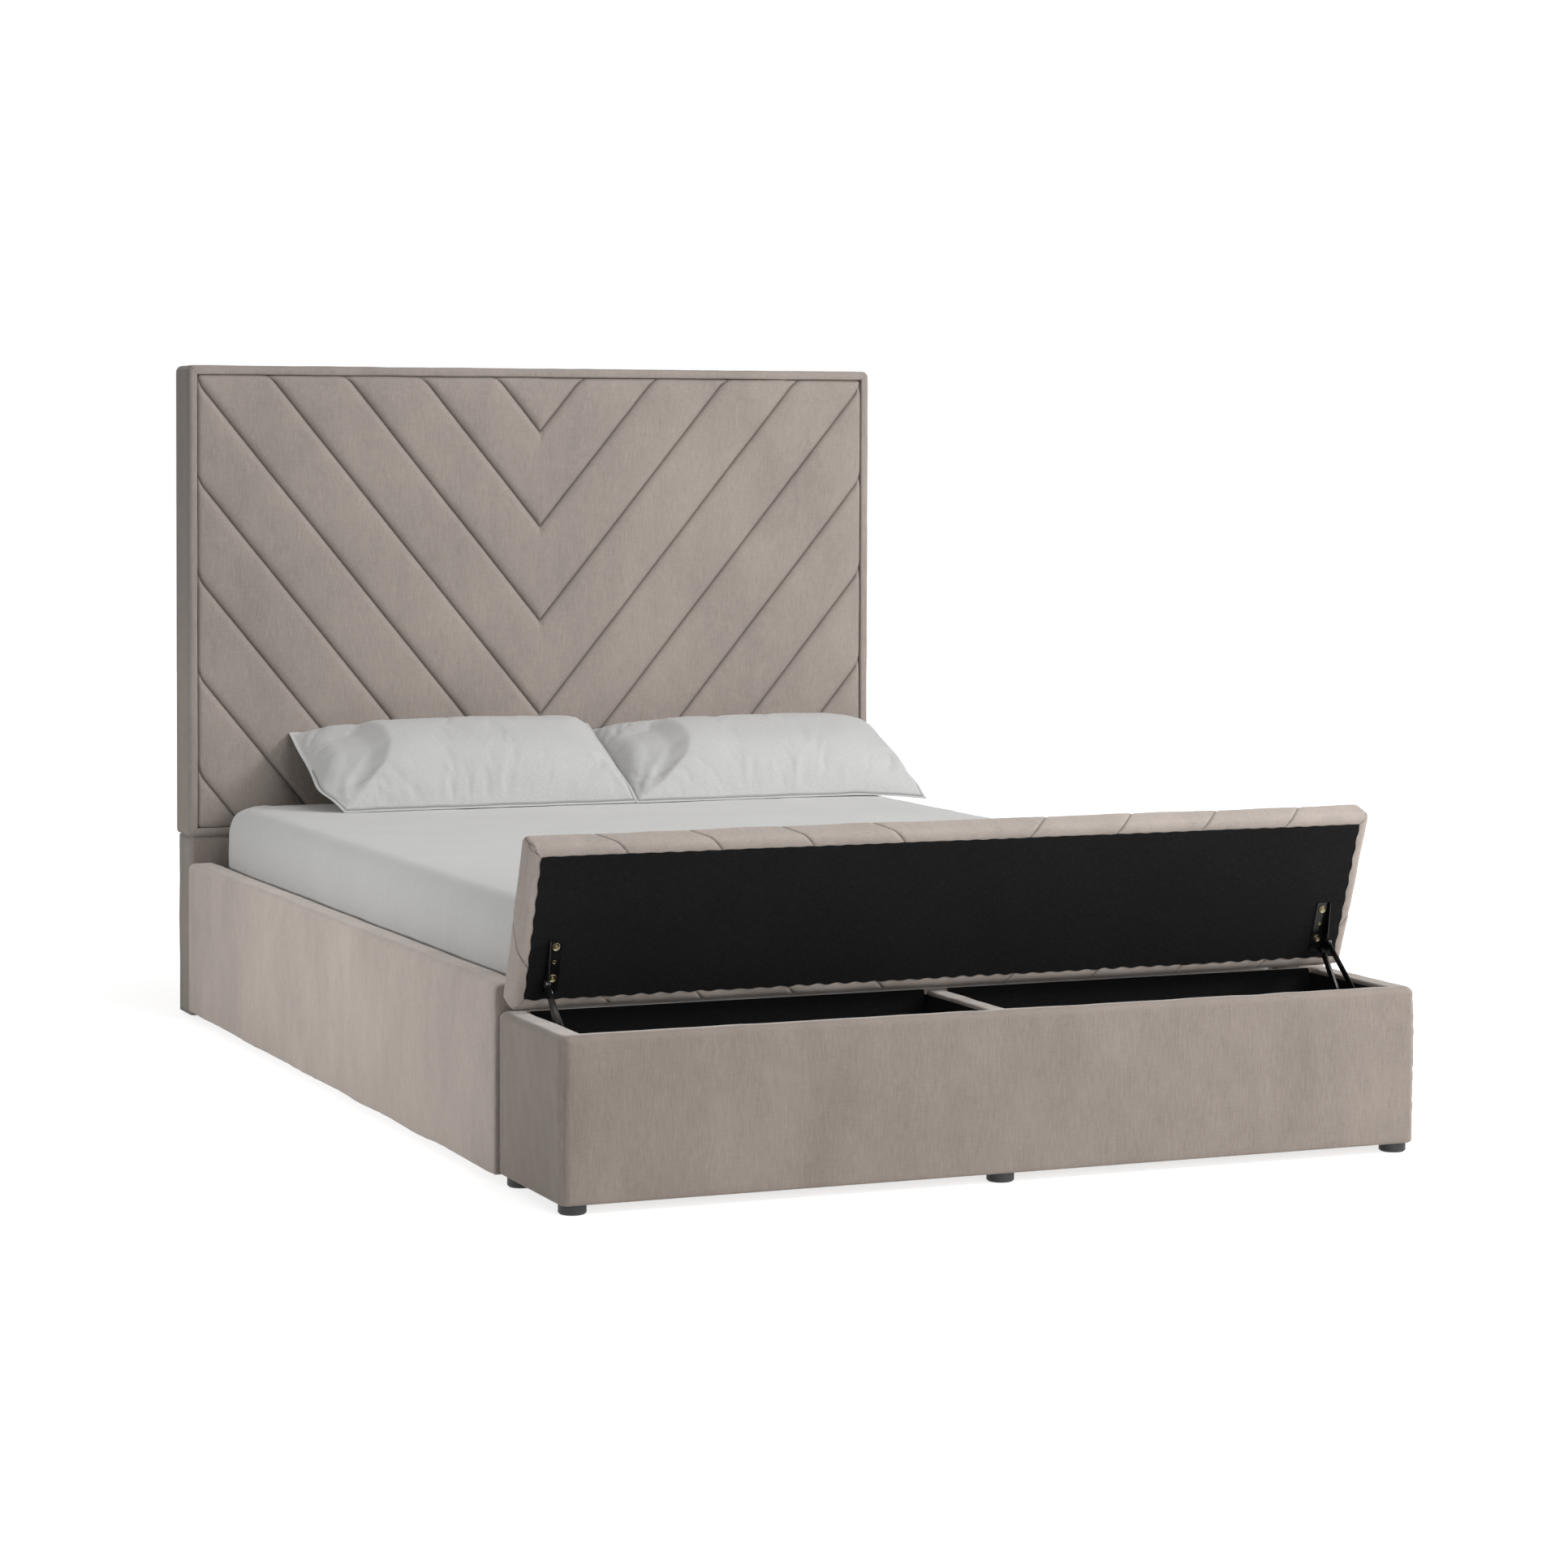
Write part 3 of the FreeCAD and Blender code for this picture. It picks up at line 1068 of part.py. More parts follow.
def pillow(centre_x):
    """Thin hems, crowned both ways, drawn in between its corners, leaning on the headboard."""
    half = PILLOW_WIDTH / 2
    half_depth = PILLOW_DEPTH / 2
    front = crowned_span(half_depth, PILLOW_FRONT_CROWN, 1)
    back = crowned_span(half_depth, PILLOW_BACK_CROWN, -1)[::-1]
    section = outline_of(
        [front, [front[-1], back[0]], back, [back[-1], front[0]]],
        lambda across, up: vector(-half, across, up))
    body = section.extrude(vector(PILLOW_WIDTH, 0, 0))
    body = body.common(pillow_ends().extrude(vector(0, 2 * PILLOW_DEPTH, 0)))
    corners = [(-half, -half_depth), (half, -half_depth), (half, half_depth), (-half, half_depth)]
    draws = (PILLOW_SIDE_DRAW, PILLOW_END_DRAW) * 2
    plan = outline_of(
        drawn_in(corners, draws), lambda across, along: vector(across, along, -PILLOW_DEPTH))
    body = body.common(plan.extrude(vector(0, 0, 2 * PILLOW_DEPTH)))
    body.rotate(vector(0, 0, 0), vector(1, 0, 0), PILLOW_LEAN)
    limits = body.optimalBoundingBox()
    rest_z = MATTRESS_BOTTOM + MATTRESS_THICK + MATTRESS_CROWN + SOFT_GAP
    body.translate(vector(
        centre_x, HEAD_FRONT_Y - SOFT_GAP - limits.YMax, rest_z - limits.ZMin))
    return body


def make_bedding():
    save("mattress", mattress())
    half_pitch = (PILLOW_WIDTH + PILLOW_GAP) / 2
    save("pillow_left", pillow(PILLOW_SHIFT - half_pitch))
    save("pillow_right", pillow(PILLOW_SHIFT + half_pitch))


def main():
    os.makedirs("parts", exist_ok=True)
    make_headboard()
    make_rails()
    make_slat_base()
    make_bench()
    save("bench_feet", [bench_foot(x, y) for x, y in foot_places()])
    make_lid_and_hinges()
    make_bedding()
    for name, place in (("arm base", ARM_BASE), ("arm top", ARM_TOP), ("stay base", STAY_BASE),
                        ("stay top", STAY_TOP)):
        point = at(place, 0)
        print(f"{name} pivot: y {point.y:.3f}, z {point.z:.3f}")


main()
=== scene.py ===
import math

import bmesh
import bpy
import numpy as np
from mathutils import Matrix, Vector


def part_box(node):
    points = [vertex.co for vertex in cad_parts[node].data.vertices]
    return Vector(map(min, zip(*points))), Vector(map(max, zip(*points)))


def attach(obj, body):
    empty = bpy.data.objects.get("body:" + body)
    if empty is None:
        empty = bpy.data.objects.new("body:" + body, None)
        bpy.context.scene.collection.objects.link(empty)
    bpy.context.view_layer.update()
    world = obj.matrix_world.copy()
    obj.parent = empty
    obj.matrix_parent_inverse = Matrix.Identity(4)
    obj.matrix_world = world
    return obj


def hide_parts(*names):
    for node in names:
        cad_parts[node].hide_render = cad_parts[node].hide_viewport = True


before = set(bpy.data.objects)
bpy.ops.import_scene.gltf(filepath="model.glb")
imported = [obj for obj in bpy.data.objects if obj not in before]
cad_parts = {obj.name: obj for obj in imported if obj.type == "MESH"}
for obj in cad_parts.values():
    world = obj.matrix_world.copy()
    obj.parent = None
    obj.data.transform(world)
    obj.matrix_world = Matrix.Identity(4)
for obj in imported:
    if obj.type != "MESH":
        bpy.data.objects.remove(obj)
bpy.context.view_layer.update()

# Sizes of the bed in millimetres, read from the CAD's pieces
MM = 0.001
X, Y, Z = range(3)


def low_of(node, axis):
    return round(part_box(node)[0][axis] / MM, 1)


def high_of(node, axis):
    return round(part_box(node)[1][axis] / MM, 1)


HEAD_FRONT_Y = low_of("headboard_border_top", Y)
HEAD_BACK_Y = high_of("headboard_border_top", Y)
HEAD_TOP = high_of("headboard_border_top", Z)
HEAD_PAD_BOTTOM = low_of("headboard_border_bottom", Z)
BORDER_WIDTH = HEAD_TOP - low_of("headboard_border_top", Z)
LOWER_FRONT_Y = low_of("headboard_lower_cover", Y)
PANEL_HALF = high_of("headboard_chevron_panel", X)
PANEL_TOP = high_of("headboard_chevron_panel", Z)
PANEL_BOTTOM = low_of("headboard_chevron_panel", Z)
PANEL_THICK = high_of("headboard_chevron_panel", Y) - HEAD_FRONT_Y
HALF_BED = high_of("rail_cover_right", X)
RAIL_WIDTH = HALF_BED - low_of("rail_cover_right", X)
RAIL_FRONT_Y = low_of("rail_cover_right", Y)
RAIL_BOTTOM = low_of("rail_cover_right", Z)
RAIL_TOP = high_of("rail_cover_right", Z)
BENCH_HALF = high_of("bench_side_cover_right", X)
BENCH_FRONT_Y = low_of("bench_front_cover", Y)
BENCH_BACK_Y = high_of("bench_back_cover", Y)
BENCH_BOTTOM = low_of("bench_front_cover", Z)
BENCH_TOP = high_of("bench_front_cover", Z)
CAVITY_X = low_of("bench_side_cover_right", X)
CAVITY_FRONT_Y = high_of("bench_front_cover", Y)
CAVITY_BACK_Y = low_of("bench_back_cover", Y)
FRONT_WALL = CAVITY_FRONT_Y - BENCH_FRONT_Y
SIDE_WALL = BENCH_HALF - CAVITY_X
BACK_WALL = BENCH_BACK_Y - CAVITY_BACK_Y
FLOOR_TOP = high_of("bench_bottom_board", Z)
LINER_TOP = BENCH_TOP - 8.0
DIVIDER_HALF = high_of("bench_divider_cover", X)
DIVIDER_TOP = high_of("bench_divider_cover", Z)
HALF_MATTRESS = high_of("mattress", X)
MATTRESS_Y = (low_of("mattress", Y), high_of("mattress", Y))
MATTRESS_MID_Y = (MATTRESS_Y[1] + MATTRESS_Y[0]) / 2
HALF_LENGTH = (MATTRESS_Y[1] - MATTRESS_Y[0]) / 2
MATTRESS_BOTTOM = low_of("mattress", Z)
MATTRESS_TOP = high_of("mattress", Z) - 7.0
MATTRESS_WAIST = (MATTRESS_TOP + MATTRESS_BOTTOM) / 2
# The closed lid, and the turn about a line along x that opens it
LID_LOW = BENCH_TOP + 1.0
LID_TOP = LID_LOW + 52.0
LID_ANGLE = math.radians(-71.0)
LID_POLE = (0.0, -952.995, 343.157)
LID_PLATE_X = 752.2
# How far a chevron seam rises for each millimetre across
SEAM_RISE = 1.207
SKIN = "upholstery_velvet"


# Shared curves
def rise(values, start, run):
    """0 up to the start and 1 from the end of the run on."""
    return np.clip((values - start) / run, 0, 1)


def fall(values, end, run):
    """1 up to the run before the end and 0 from the end on."""
    return np.clip((end - values) / run, 0, 1)


def bell(values, width):
    return np.exp(-(values / width) ** 2)


def ripples(points, size, seed, count=16, stretch=(1.0, 1.0, 1.0)):
    """Unevenness of cloth: smooth random waves whose patches are about the given size."""
    draw = np.random.default_rng(seed)
    ways = draw.normal(size=(count, 3))
    ways /= np.linalg.norm(ways, axis=1, keepdims=True)
    lengths = size * draw.uniform(0.7, 1.7, count)
    shifts = draw.uniform(0, 2 * math.pi, count)
    turns = (points / np.asarray(stretch)) @ (ways / lengths[:, None]).T
    return np.sin(2 * math.pi * turns + shifts).sum(1) / math.sqrt(count)


def run_of(start, end, cell):
    """Evenly spaced values from start to end, no further apart than the cell."""
    return np.linspace(start, end, max(2, int(math.ceil(abs(end - start) / cell)) + 1))


# Meshes from arrays, in millimetres
def new_object(name, data):
    thing = bpy.data.objects.new(name, data)
    bpy.context.scene.collection.objects.link(thing)
    return thing


def mesh_object(name, points, faces):
    mesh = bpy.data.meshes.new(name)
    mesh.from_pydata((np.asarray(points) * MM).tolist(), [], [list(map(int, f)) for f in faces])
    return new_object(name, mesh)


def smooth_all(piece):
    piece.data.polygons.foreach_set("use_smooth", [True] * len(piece.data.polygons))


def mesh_piece(name, points, faces, body, slot, material):
    piece = mesh_object(name, points, faces)
    piece.data.validate()
    piece.data.update()
    smooth_all(piece)
    piece.data.materials.append(material)
    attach(piece, body)
    return piece


def close_rims(piece, clean=False):
    """Closes open rims with flat faces and turns all faces outward."""
    work = bmesh.new()
    work.from_mesh(piece.data)
    bmesh.ops.remove_doubles(work, verts=work.verts, dist=2e-6)
    if clean:
        bmesh.ops.dissolve_degenerate(work, dist=1e-7, edges=work.edges)
    rims = [edge for edge in work.edges if edge.is_boundary]
    if rims:
        bmesh.ops.holes_fill(work, edges=rims, sides=0)
    bmesh.ops.recalc_face_normals(work, faces=work.faces)
    for face in work.faces:
        face.smooth = len(face.verts) < 9
    work.to_mesh(piece.data)
    work.free()


def with_caps(*parts):
    piece = mesh_piece(*parts)
    close_rims(piece)
    return piece


def read(things, key):
    flat = np.empty(3 * len(things))
    things.foreach_get(key, flat)
    return flat.reshape(-1, 3)


def vertices_of(piece):
    return read(piece.data.vertices, "co") / MM


def normals_of(piece):
    return read(piece.data.vertex_normals, "vector")


def put_vertices(piece, points):
    piece.data.vertices.foreach_set("co", (np.asarray(points) * MM).ravel())
    piece.data.update()


def mark_painted_seam_shade(piece, strength):
    """Writes how near each vertex lies to a seam, where the materials paint shade into the cloth's
    creases.
    """
    mark = piece.data.attributes.new("painted_crease_shade", "FLOAT", "POINT")
    mark.data.foreach_set("value", np.asarray(strength, np.float32))


def swell(piece, height):
    """Moves each vertex out along its normal by height(points, normals)."""
    points, normals = vertices_of(piece), normals_of(piece)
    put_vertices(piece, points + normals * height(points, normals)[:, None])


# Faces between grids and rings of vertices
def grid_quads(ids):
    return np.stack([ids[:-1, :-1], ids[1:, :-1], ids[1:, 1:], ids[:-1, 1:]], -1).reshape(-1, 4)


def side_quads(*sides):
    """The quads of several grids, each turned over where its flip says so."""
    return np.vstack([grid_quads(ids)[:, ::-1] if flip else grid_quads(ids) for ids, flip in sides])


def ring_quads(rings, count):
    return np.array([
        (base + k, base + (k + 1) % count, base + count + (k + 1) % count, base + count + k)
        for base in range(0, (rings - 1) * count, count) for k in range(count)])


def compact(faces, count):
    """The vertices in use, and the faces with their new numbers."""
    used = np.unique([corner for face in faces for corner in face])
    renumber = np.zeros(count, int)
    renumber[used] = np.arange(len(used))
    return used, [[renumber[corner] for corner in face] for face in faces]


def tidy_faces(faces):
    """Faces without repeated corners; those with fewer than three are left out."""
    rows = [list(dict.fromkeys(face)) for face in faces]
    return [row for row in rows if len(row) > 2]


# Closed outlines with rounded corners, as (points, outward normals)
def rounded_outline(corners, radii, cell, steps=6):
    points, normals = [], []
    count = len(corners)
    for number, radius in enumerate(radii):
        here, before, after = (
            np.array(corners[k % count], float) for k in (number, number - 1, number + 1))
        way_in = (here - before) / np.linalg.norm(here - before)
        way_out = (after - here) / np.linalg.norm(after - here)
        normal_in = np.array([way_in[1], -way_in[0]])
        normal_out = np.array([way_out[1], -way_out[0]])
        turn = way_in[0] * way_out[1] - way_in[1] * way_out[0]
        last = here
        if radius > 0 and turn > 0:
            centre = here - way_in * radius - normal_in * radius
            for step in range(steps + 1):
                angle = math.pi / 2 * step / steps
                normal = normal_in * math.cos(angle) + normal_out * math.sin(angle)
                points.append(centre + normal * radius)
                normals.append(normal)
            last = here + way_out * radius
        else:
            normal = normal_in + normal_out
            points.append(here)
            normals.append(normal / max(np.linalg.norm(normal), 0.1))
        end = after - way_out * radii[(number + 1) % count]
        length = float(np.dot(end - last, way_out))
        if length > cell:
            for share in run_of(0, 1, cell / length)[1:-1]:
                points.append(last + (end - last) * share)
                normals.append(normal_out)
    return np.array(points), np.array(normals)


def extrusion(name, outline, stations, insets, order, material):
    """A closed outline carried along stations and drawn in by an inset at each. order says which
    of the columns (u, v, station) are x, y and z."""
    points, normals = outline
    rows = [
        np.column_stack([points - normals * inset, np.full(len(points), station)])[:, order]
        for station, inset in zip(stations, insets)]
    faces = ring_quads(len(stations), len(points))
    return with_caps(name, np.vstack(rows), faces, "frame", SKIN, material)


def rounded_ends(start, end, radius, cell, steps=5):
    """Stations and insets of an extrusion whose two ends are rounded."""
    angles = [math.pi / 2 * k / steps for k in range(steps)]
    first = [start + radius * (1 - math.cos(angle)) for angle in angles]
    first_in = [radius * (1 - math.sin(angle)) for angle in angles]
    middle = run_of(start + radius, end - radius, cell)
    last = [start + end - value for value in first[::-1]]
    return np.concatenate([first, middle, last]), np.concatenate(
        [first_in, np.zeros(len(middle)), first_in[::-1]])


# Soft blocks: a grid on a block's faces, rounded along every edge
def edge_line(low, high, radius, cell, steps=5):
    bend = [radius - radius * math.tan(math.pi / 4 * (1 - k / steps)) for k in range(steps)]
    middle = run_of(low + radius, high - radius, cell)
    return np.concatenate([low + np.array(bend), middle, high - np.array(bend[::-1])])


def block_grid(xs, ys, zs):
    shape = (len(xs), len(ys), len(zs))
    outer = np.zeros(shape, bool)
    outer[[0, -1]] = outer[:, [0, -1]] = outer[:, :, [0, -1]] = True
    ids = np.full(shape, -1)
    ids[outer] = np.arange(outer.sum())
    i, j, k = np.nonzero(outer)
    return np.stack([xs[i], ys[j], zs[k]], 1), side_quads(
        (ids[:, :, -1], False), (ids[:, :, 0], True), (ids[-1], False), (ids[0], True),
        (ids[:, -1], True), (ids[:, 0], False))


def soften(points, low, high, radius):
    """Moves a block's grid onto the rounded block; returns points and outward normals."""
    radius = np.broadcast_to(np.asarray(radius, float), len(points))[:, None]
    inner = np.clip(points, low + radius, high - radius)
    away = points - inner
    length = np.linalg.norm(away, axis=1, keepdims=True)
    normals = away / np.maximum(length, 1e-9)
    return inner + normals * radius, normals


# Chevron cloth: a flat grid whose rows follow the seams, then wrapped round a padded board
NEAR_SEAM = (0.0, 0.7, 1.6, 3.0, 5.0, 7.5, 10.5, 14.0, 18.0)


def chevron_grid(half, reach, seams, column_cell, row_cell):
    """A grid over |a| <= half, |b| <= reach. Seam lines are b = seam + rise |a|."""
    columns = run_of(-half, half, column_cell)
    if len(columns) % 2 == 0:
        columns = np.linspace(-half, half, len(columns) + 1)
    near = np.array(NEAR_SEAM) * math.hypot(1, SEAM_RISE)
    lowest = -reach - SEAM_RISE * half
    edge = lowest - row_cell
    rows = []
    for mark in sorted(seams):
        if mark <= lowest - near[-1]:
            continue
        if mark - near[-1] > edge:
            rows.extend(run_of(edge, mark - near[-1], row_cell)[:-1])
        rows.extend(mark - near[::-1])
        rows.extend(mark + near[1:-1])
        edge = mark + near[-1]
    rows.extend(run_of(edge, max(reach, edge) + row_cell, row_cell))
    rows = np.unique(np.round(rows, 4))
    free = rows[None, :] + SEAM_RISE * np.abs(columns)[:, None]
    grid = np.clip(free, -reach, reach)
    ids = np.arange(grid.size).reshape(grid.shape)
    for column in range(len(columns)):
        under = np.flatnonzero(free[column] <= -reach)
        over = np.flatnonzero(free[column] >= reach)
        if len(under):
            ids[column, under] = ids[column, under[-1]]
        if len(over):
            ids[column, over] = ids[column, over[0]]
    used, faces = compact(tidy_faces(grid_quads(ids).tolist()), grid.size)
    return np.stack([np.repeat(columns, grid.shape[1]), grid.ravel()], 1)[used], faces


def seam_distance(flat, seams):
    level = flat[:, 1] - SEAM_RISE * np.abs(flat[:, 0])
    gaps = np.abs(level[:, None] - np.asarray(seams)[None, :])
    return gaps.min(1) / math.hypot(1, SEAM_RISE)


def round_corner(past_a, past_b):
    """How a length past both edges of a corner shares out between a and b."""
    angle = math.pi / 4 * np.minimum(past_a, past_b) / np.maximum(np.maximum(past_a, past_b), 1e-9)
    wide, narrow = np.cos(angle), np.sin(angle)
    more_a = past_a >= past_b
    return np.where(more_a, wide, narrow), np.where(more_a, narrow, wide)


def wrapped(flat, half_flat, reach_flat, profile):
    """Flat cloth places wrapped over a padded block's edges, as (across, along, drop).
    profile gives (outward, drop) for a length of cloth past the flat top."""
    across, along = np.abs(flat[:, 0]), np.abs(flat[:, 1])
    past_a = np.maximum(across - half_flat, 0)
    past_b = np.maximum(along - reach_flat, 0)
    toward_a, toward_b = round_corner(past_a, past_b)
    outward, drop = profile(np.maximum(past_a, past_b))
    under = np.maximum(-outward, 0)
    outward = np.maximum(outward, 0)
    a = np.minimum(across, half_flat - under) + toward_a * outward
    b = np.minimum(along, reach_flat - under) + toward_b * outward
    return np.sign(flat[:, 0]) * a, np.sign(flat[:, 1]) * b, drop


def profile_along(bends):
    """A profile from straight runs and quarter bends, as a polyline looked up by length."""
    outward, drop, length = [0.0], [0.0], [0.0]
    for out, down in bends:
        length.append(length[-1] + math.hypot(out - outward[-1], down - drop[-1]))
        outward.append(out)
        drop.append(down)
    return length[-1], lambda past: (
        np.interp(past, length, outward), np.interp(past, length, drop))


def quarter(radius, centre, start, steps=10):
    """Points on a quarter bend, clockwise from the start angle."""
    angles = [start + math.pi / 2 * step / steps for step in range(1, steps + 1)]
    return [(centre[0] + radius * math.sin(angle), centre[1] - radius * math.cos(angle))
            for angle in angles]


def seam_drop(distance, radius, depth, crease):
    """How far a seam draws the cloth in: round shoulders and a narrow crease."""
    reach = math.sqrt(radius ** 2 - (radius - depth) ** 2)
    inside = np.clip(reach - distance, 0, None)
    return radius - np.sqrt(radius ** 2 - inside ** 2) + crease * bell(distance, 2.2)


# Material nodes
NO_TURN = (0.0, 0.0, 0.0)
EVEN = (1.0, 1.0, 1.0)


def add(tree, kind, inputs=None, **settings):
    node = tree.nodes.new(kind)
    for key, value in settings.items():
        setattr(node, key, value)
    for key, value in (inputs or {}).items():
        if isinstance(value, bpy.types.NodeSocket):
            tree.links.new(value, node.inputs[key])
        else:
            node.inputs[key].default_value = value
    return node


def combine(tree, operation, *inputs):
    return add(tree, "ShaderNodeMath", dict(enumerate(inputs)), operation=operation).outputs[0]


def mapped(tree, value, start, end, **limits):
    inputs = {"Value": value, "To Min": start, "To Max": end, **limits}
    return add(tree, "ShaderNodeMapRange", inputs).outputs[0]


def tinted(colour, factor):
    return tuple(min(1.0, value * factor) for value in colour)


def apply_painted_seam_shade(tree, colours):
    """Painted shade: darkens the colours where a mesh marks a seam, in place of the shade in the
    cloth's creases.
    """
    seam = add(tree, "ShaderNodeAttribute", attribute_name="painted_crease_shade").outputs["Fac"]
    shade = combine(tree, "MULTIPLY_ADD", seam, -0.62, 1.0)
    inputs = {0: colours, "Scale": shade}
    return add(tree, "ShaderNodeVectorMath", inputs, operation="SCALE").outputs[0], shade


def surface(name, noises, tone, stops, rough, relief, bump, turn=NO_TURN, sheen=None, **values):
    """A material from noise layers, each (stretch, scale, detail, roughness). tone and relief are
    weighted sums of layers; rough is a layer with its least and greatest roughness."""
    material = bpy.data.materials.new(name)
    material.use_nodes = True
    tree = material.node_tree
    shader = tree.nodes["Principled BSDF"]
    place = add(tree, "ShaderNodeTexCoord").outputs["Object"]
    place = add(tree, "ShaderNodeMapping", {"Vector": place, "Rotation": turn}).outputs[0]
    layers = {}
    for layer, (stretch, scale, detail, grain) in noises.items():
        source = add(tree, "ShaderNodeMapping", {"Vector": place, "Scale": stretch}).outputs[0]
        layers[layer] = add(tree, "ShaderNodeTexNoise", {
            "Vector": source, "Scale": scale, "Detail": detail, "Roughness": grain}).outputs["Fac"]

    def total(weights):
        result = 0.0
        for layer, weight in weights.items():
            result = combine(tree, "MULTIPLY_ADD", layers[layer], weight, result)
        return result

    layers["tone"] = total(tone)
    ramp = add(tree, "ShaderNodeValToRGB", {"Fac": layers["tone"]})
    elements = ramp.color_ramp.elements
    while len(elements) < len(stops):
        elements.new(0.5)
    for element, (position, colour) in zip(elements, stops):
        element.position = position
        element.color = (*colour, 1.0)
    # Painted shade in the seams' creases, read from the mark on the mesh
    colours, shade = apply_painted_seam_shade(tree, ramp.outputs["Color"])
    tree.links.new(colours, shader.inputs["Base Color"])
    if sheen is not None:
        # The painted seam shade also dims the sheen in the creases
        tree.links.new(combine(tree, "MULTIPLY", shade, sheen), shader.inputs["Sheen Weight"])
    tree.links.new(mapped(tree, layers[rough[0]], *rough[1:]), shader.inputs["Roughness"])
    strength, distance = bump
    relief = add(tree, "ShaderNodeBump", {
        "Height": total(relief), "Strength": strength, "Distance": distance})
    tree.links.new(relief.outputs[0], shader.inputs["Normal"])
    for key, value in values.items():
        shader.inputs[key.replace("_", " ")].default_value = value
    return material


def velvet(name, colour, turn=NO_TURN, sheen=0.6):
    """Short pile with fine upright streaks, a faint cross weave and brushed patches."""
    return surface(name, {
        "streaks": ((1.0, 1.0, 0.05), 760.0, 2.0, 0.6),
        "weave": ((0.08, 0.08, 1.0), 760.0, 2.0, 0.5),
        "patches": ((1.0, 1.0, 0.55), 6.5, 4.0, 0.6),
        "brushing": ((1.0, 1.0, 0.25), 32.0, 3.0, 0.55),
        "pile": (EVEN, 1500.0, 2.0, 0.6),
    }, {"streaks": 0.42, "weave": 0.16, "patches": 0.34, "brushing": 0.08},
        [(0.34, tinted(colour, 0.76)), (0.50, colour), (0.66, tinted(colour, 1.22))],
        ("patches", 0.72, 0.92), {"streaks": 1.0, "pile": 0.5}, (0.45, 0.0006), turn, sheen,
        Sheen_Roughness=0.32, Sheen_Tint=(1.0, 0.95, 0.91, 1.0), Specular_IOR_Level=0.25)


def woven(name, colour, threads, contrast, rough, turn=NO_TURN, sheen=0.12):
    """Plain woven cloth: two crossing sets of threads and soft patches."""
    dark, light = tinted(colour, 1.0 - contrast), tinted(colour, 1.0 + contrast)
    return surface(name, {
        "warp": ((1.0, 0.10, 1.0), threads, 1.5, 0.5),
        "weft": ((0.10, 1.0, 0.35), threads, 1.5, 0.5),
        "patches": (EVEN, 7.0, 4.0, 0.6),
    }, {"warp": 0.4, "weft": 0.4, "patches": 0.2}, [(0.34, dark), (0.50, colour), (0.66, light)],
        ("patches", rough - 0.06, rough + 0.06), {"warp": 1.0, "weft": 1.0}, (0.35, 0.0003), turn,
        Sheen_Weight=sheen, Specular_IOR_Level=sheen * 2)


def wood(name, dark, light, ring_scale, along):
    """Planed wood: long wavy grain, pores and a little dirt."""
    return surface(name, {
        "grain": (along, ring_scale, 5.0, 0.6),
        "pores": (along, ring_scale * 9, 2.0, 0.7),
        "wander": (tuple(value * 0.5 for value in along), 9.0, 3.0, 0.5),
    }, {"grain": 0.6, "pores": 0.2, "wander": 0.2}, [(0.36, dark), (0.62, light)],
        ("grain", 0.5, 0.72), {"grain": 1.0, "pores": 1.0}, (0.3, 0.0006))


def coated(name, colour, worn, rough, texture, bump, **values):
    """Painted or plated metal and moulded plastic: fine texture, rubbed patches, scratches."""
    return surface(name, {
        "fine": (EVEN, texture, 3.0, 0.6),
        "patches": (EVEN, 22.0, 4.0, 0.65),
        "scratches": ((1.0, 0.06, 0.4), 420.0, 2.0, 0.5),
    }, {"patches": 0.7, "scratches": 0.3}, [(0.40, colour), (0.68, worn)],
        ("tone", rough - 0.08, rough + 0.12), {"fine": 1.0, "scratches": 0.4}, (bump, 0.0003),
        **values)


TAUPE = (0.335, 0.292, 0.262)
BENCH_TAUPE = (0.335, 0.286, 0.25)
WITH_LID = (-LID_ANGLE, 0.0, 0.0)
VELVET_HEAD = velvet("velvet_headboard", TAUPE)
# Painted shade: the lower part's copy of the velvet is made darker to stand in for the shade on it
VELVET_LOWER_PAINTED_SHADE = velvet("velvet_lower_painted_shade", tinted(TAUPE, 0.95))
# Painted light: the rails' copy of the velvet is made lighter to stand in for the light on their
# outer sides
VELVET_RAIL_PAINTED_LIGHT = velvet("velvet_rails_painted_light", tinted(TAUPE, 1.70))
VELVET_BENCH = velvet("velvet_bench", tinted(BENCH_TAUPE, 0.94), sheen=1.0)
# Painted light: the lid's copy of the velvet is made lighter to stand in for the light on its
# boxing and edges
VELVET_LID_PAINTED_LIGHT = velvet("velvet_lid", tinted(TAUPE, 1.34), WITH_LID)
BLACK_CLOTH = woven(
    "black_cover_cloth", (0.0115, 0.0115, 0.0118), 900.0, 0.45, 0.85, WITH_LID, sheen=0.03)
LINER_CLOTH = woven("black_liner_cloth", (0.0070, 0.0070, 0.0073), 900.0, 0.45, 0.88, sheen=0.04)
SHEET_CLOTH = woven("sheet_cotton", (0.64, 0.64, 0.63), 1500.0, 0.10, 0.86)
PILLOW_CLOTH = woven("pillow_cotton", (0.545, 0.545, 0.538), 1300.0, 0.12, 0.86)
PINE = wood("pine", (0.36, 0.21, 0.10), (0.66, 0.47, 0.28), 60.0, (1.0, 0.05, 1.0))
PLYWOOD = wood("plywood", (0.42, 0.29, 0.17), (0.66, 0.51, 0.34), 45.0, (0.06, 1.0, 1.0))
BLACK_STEEL = coated("black_steel", (0.005, 0.005, 0.0055), (0.012, 0.012, 0.013), 0.24, 700.0,
                     0.2, Specular_IOR_Level=0.3)
BLACK_PLASTIC = coated(
    "black_plastic", (0.012, 0.012, 0.012), (0.028, 0.028, 0.028), 0.5, 1100.0, 0.35)
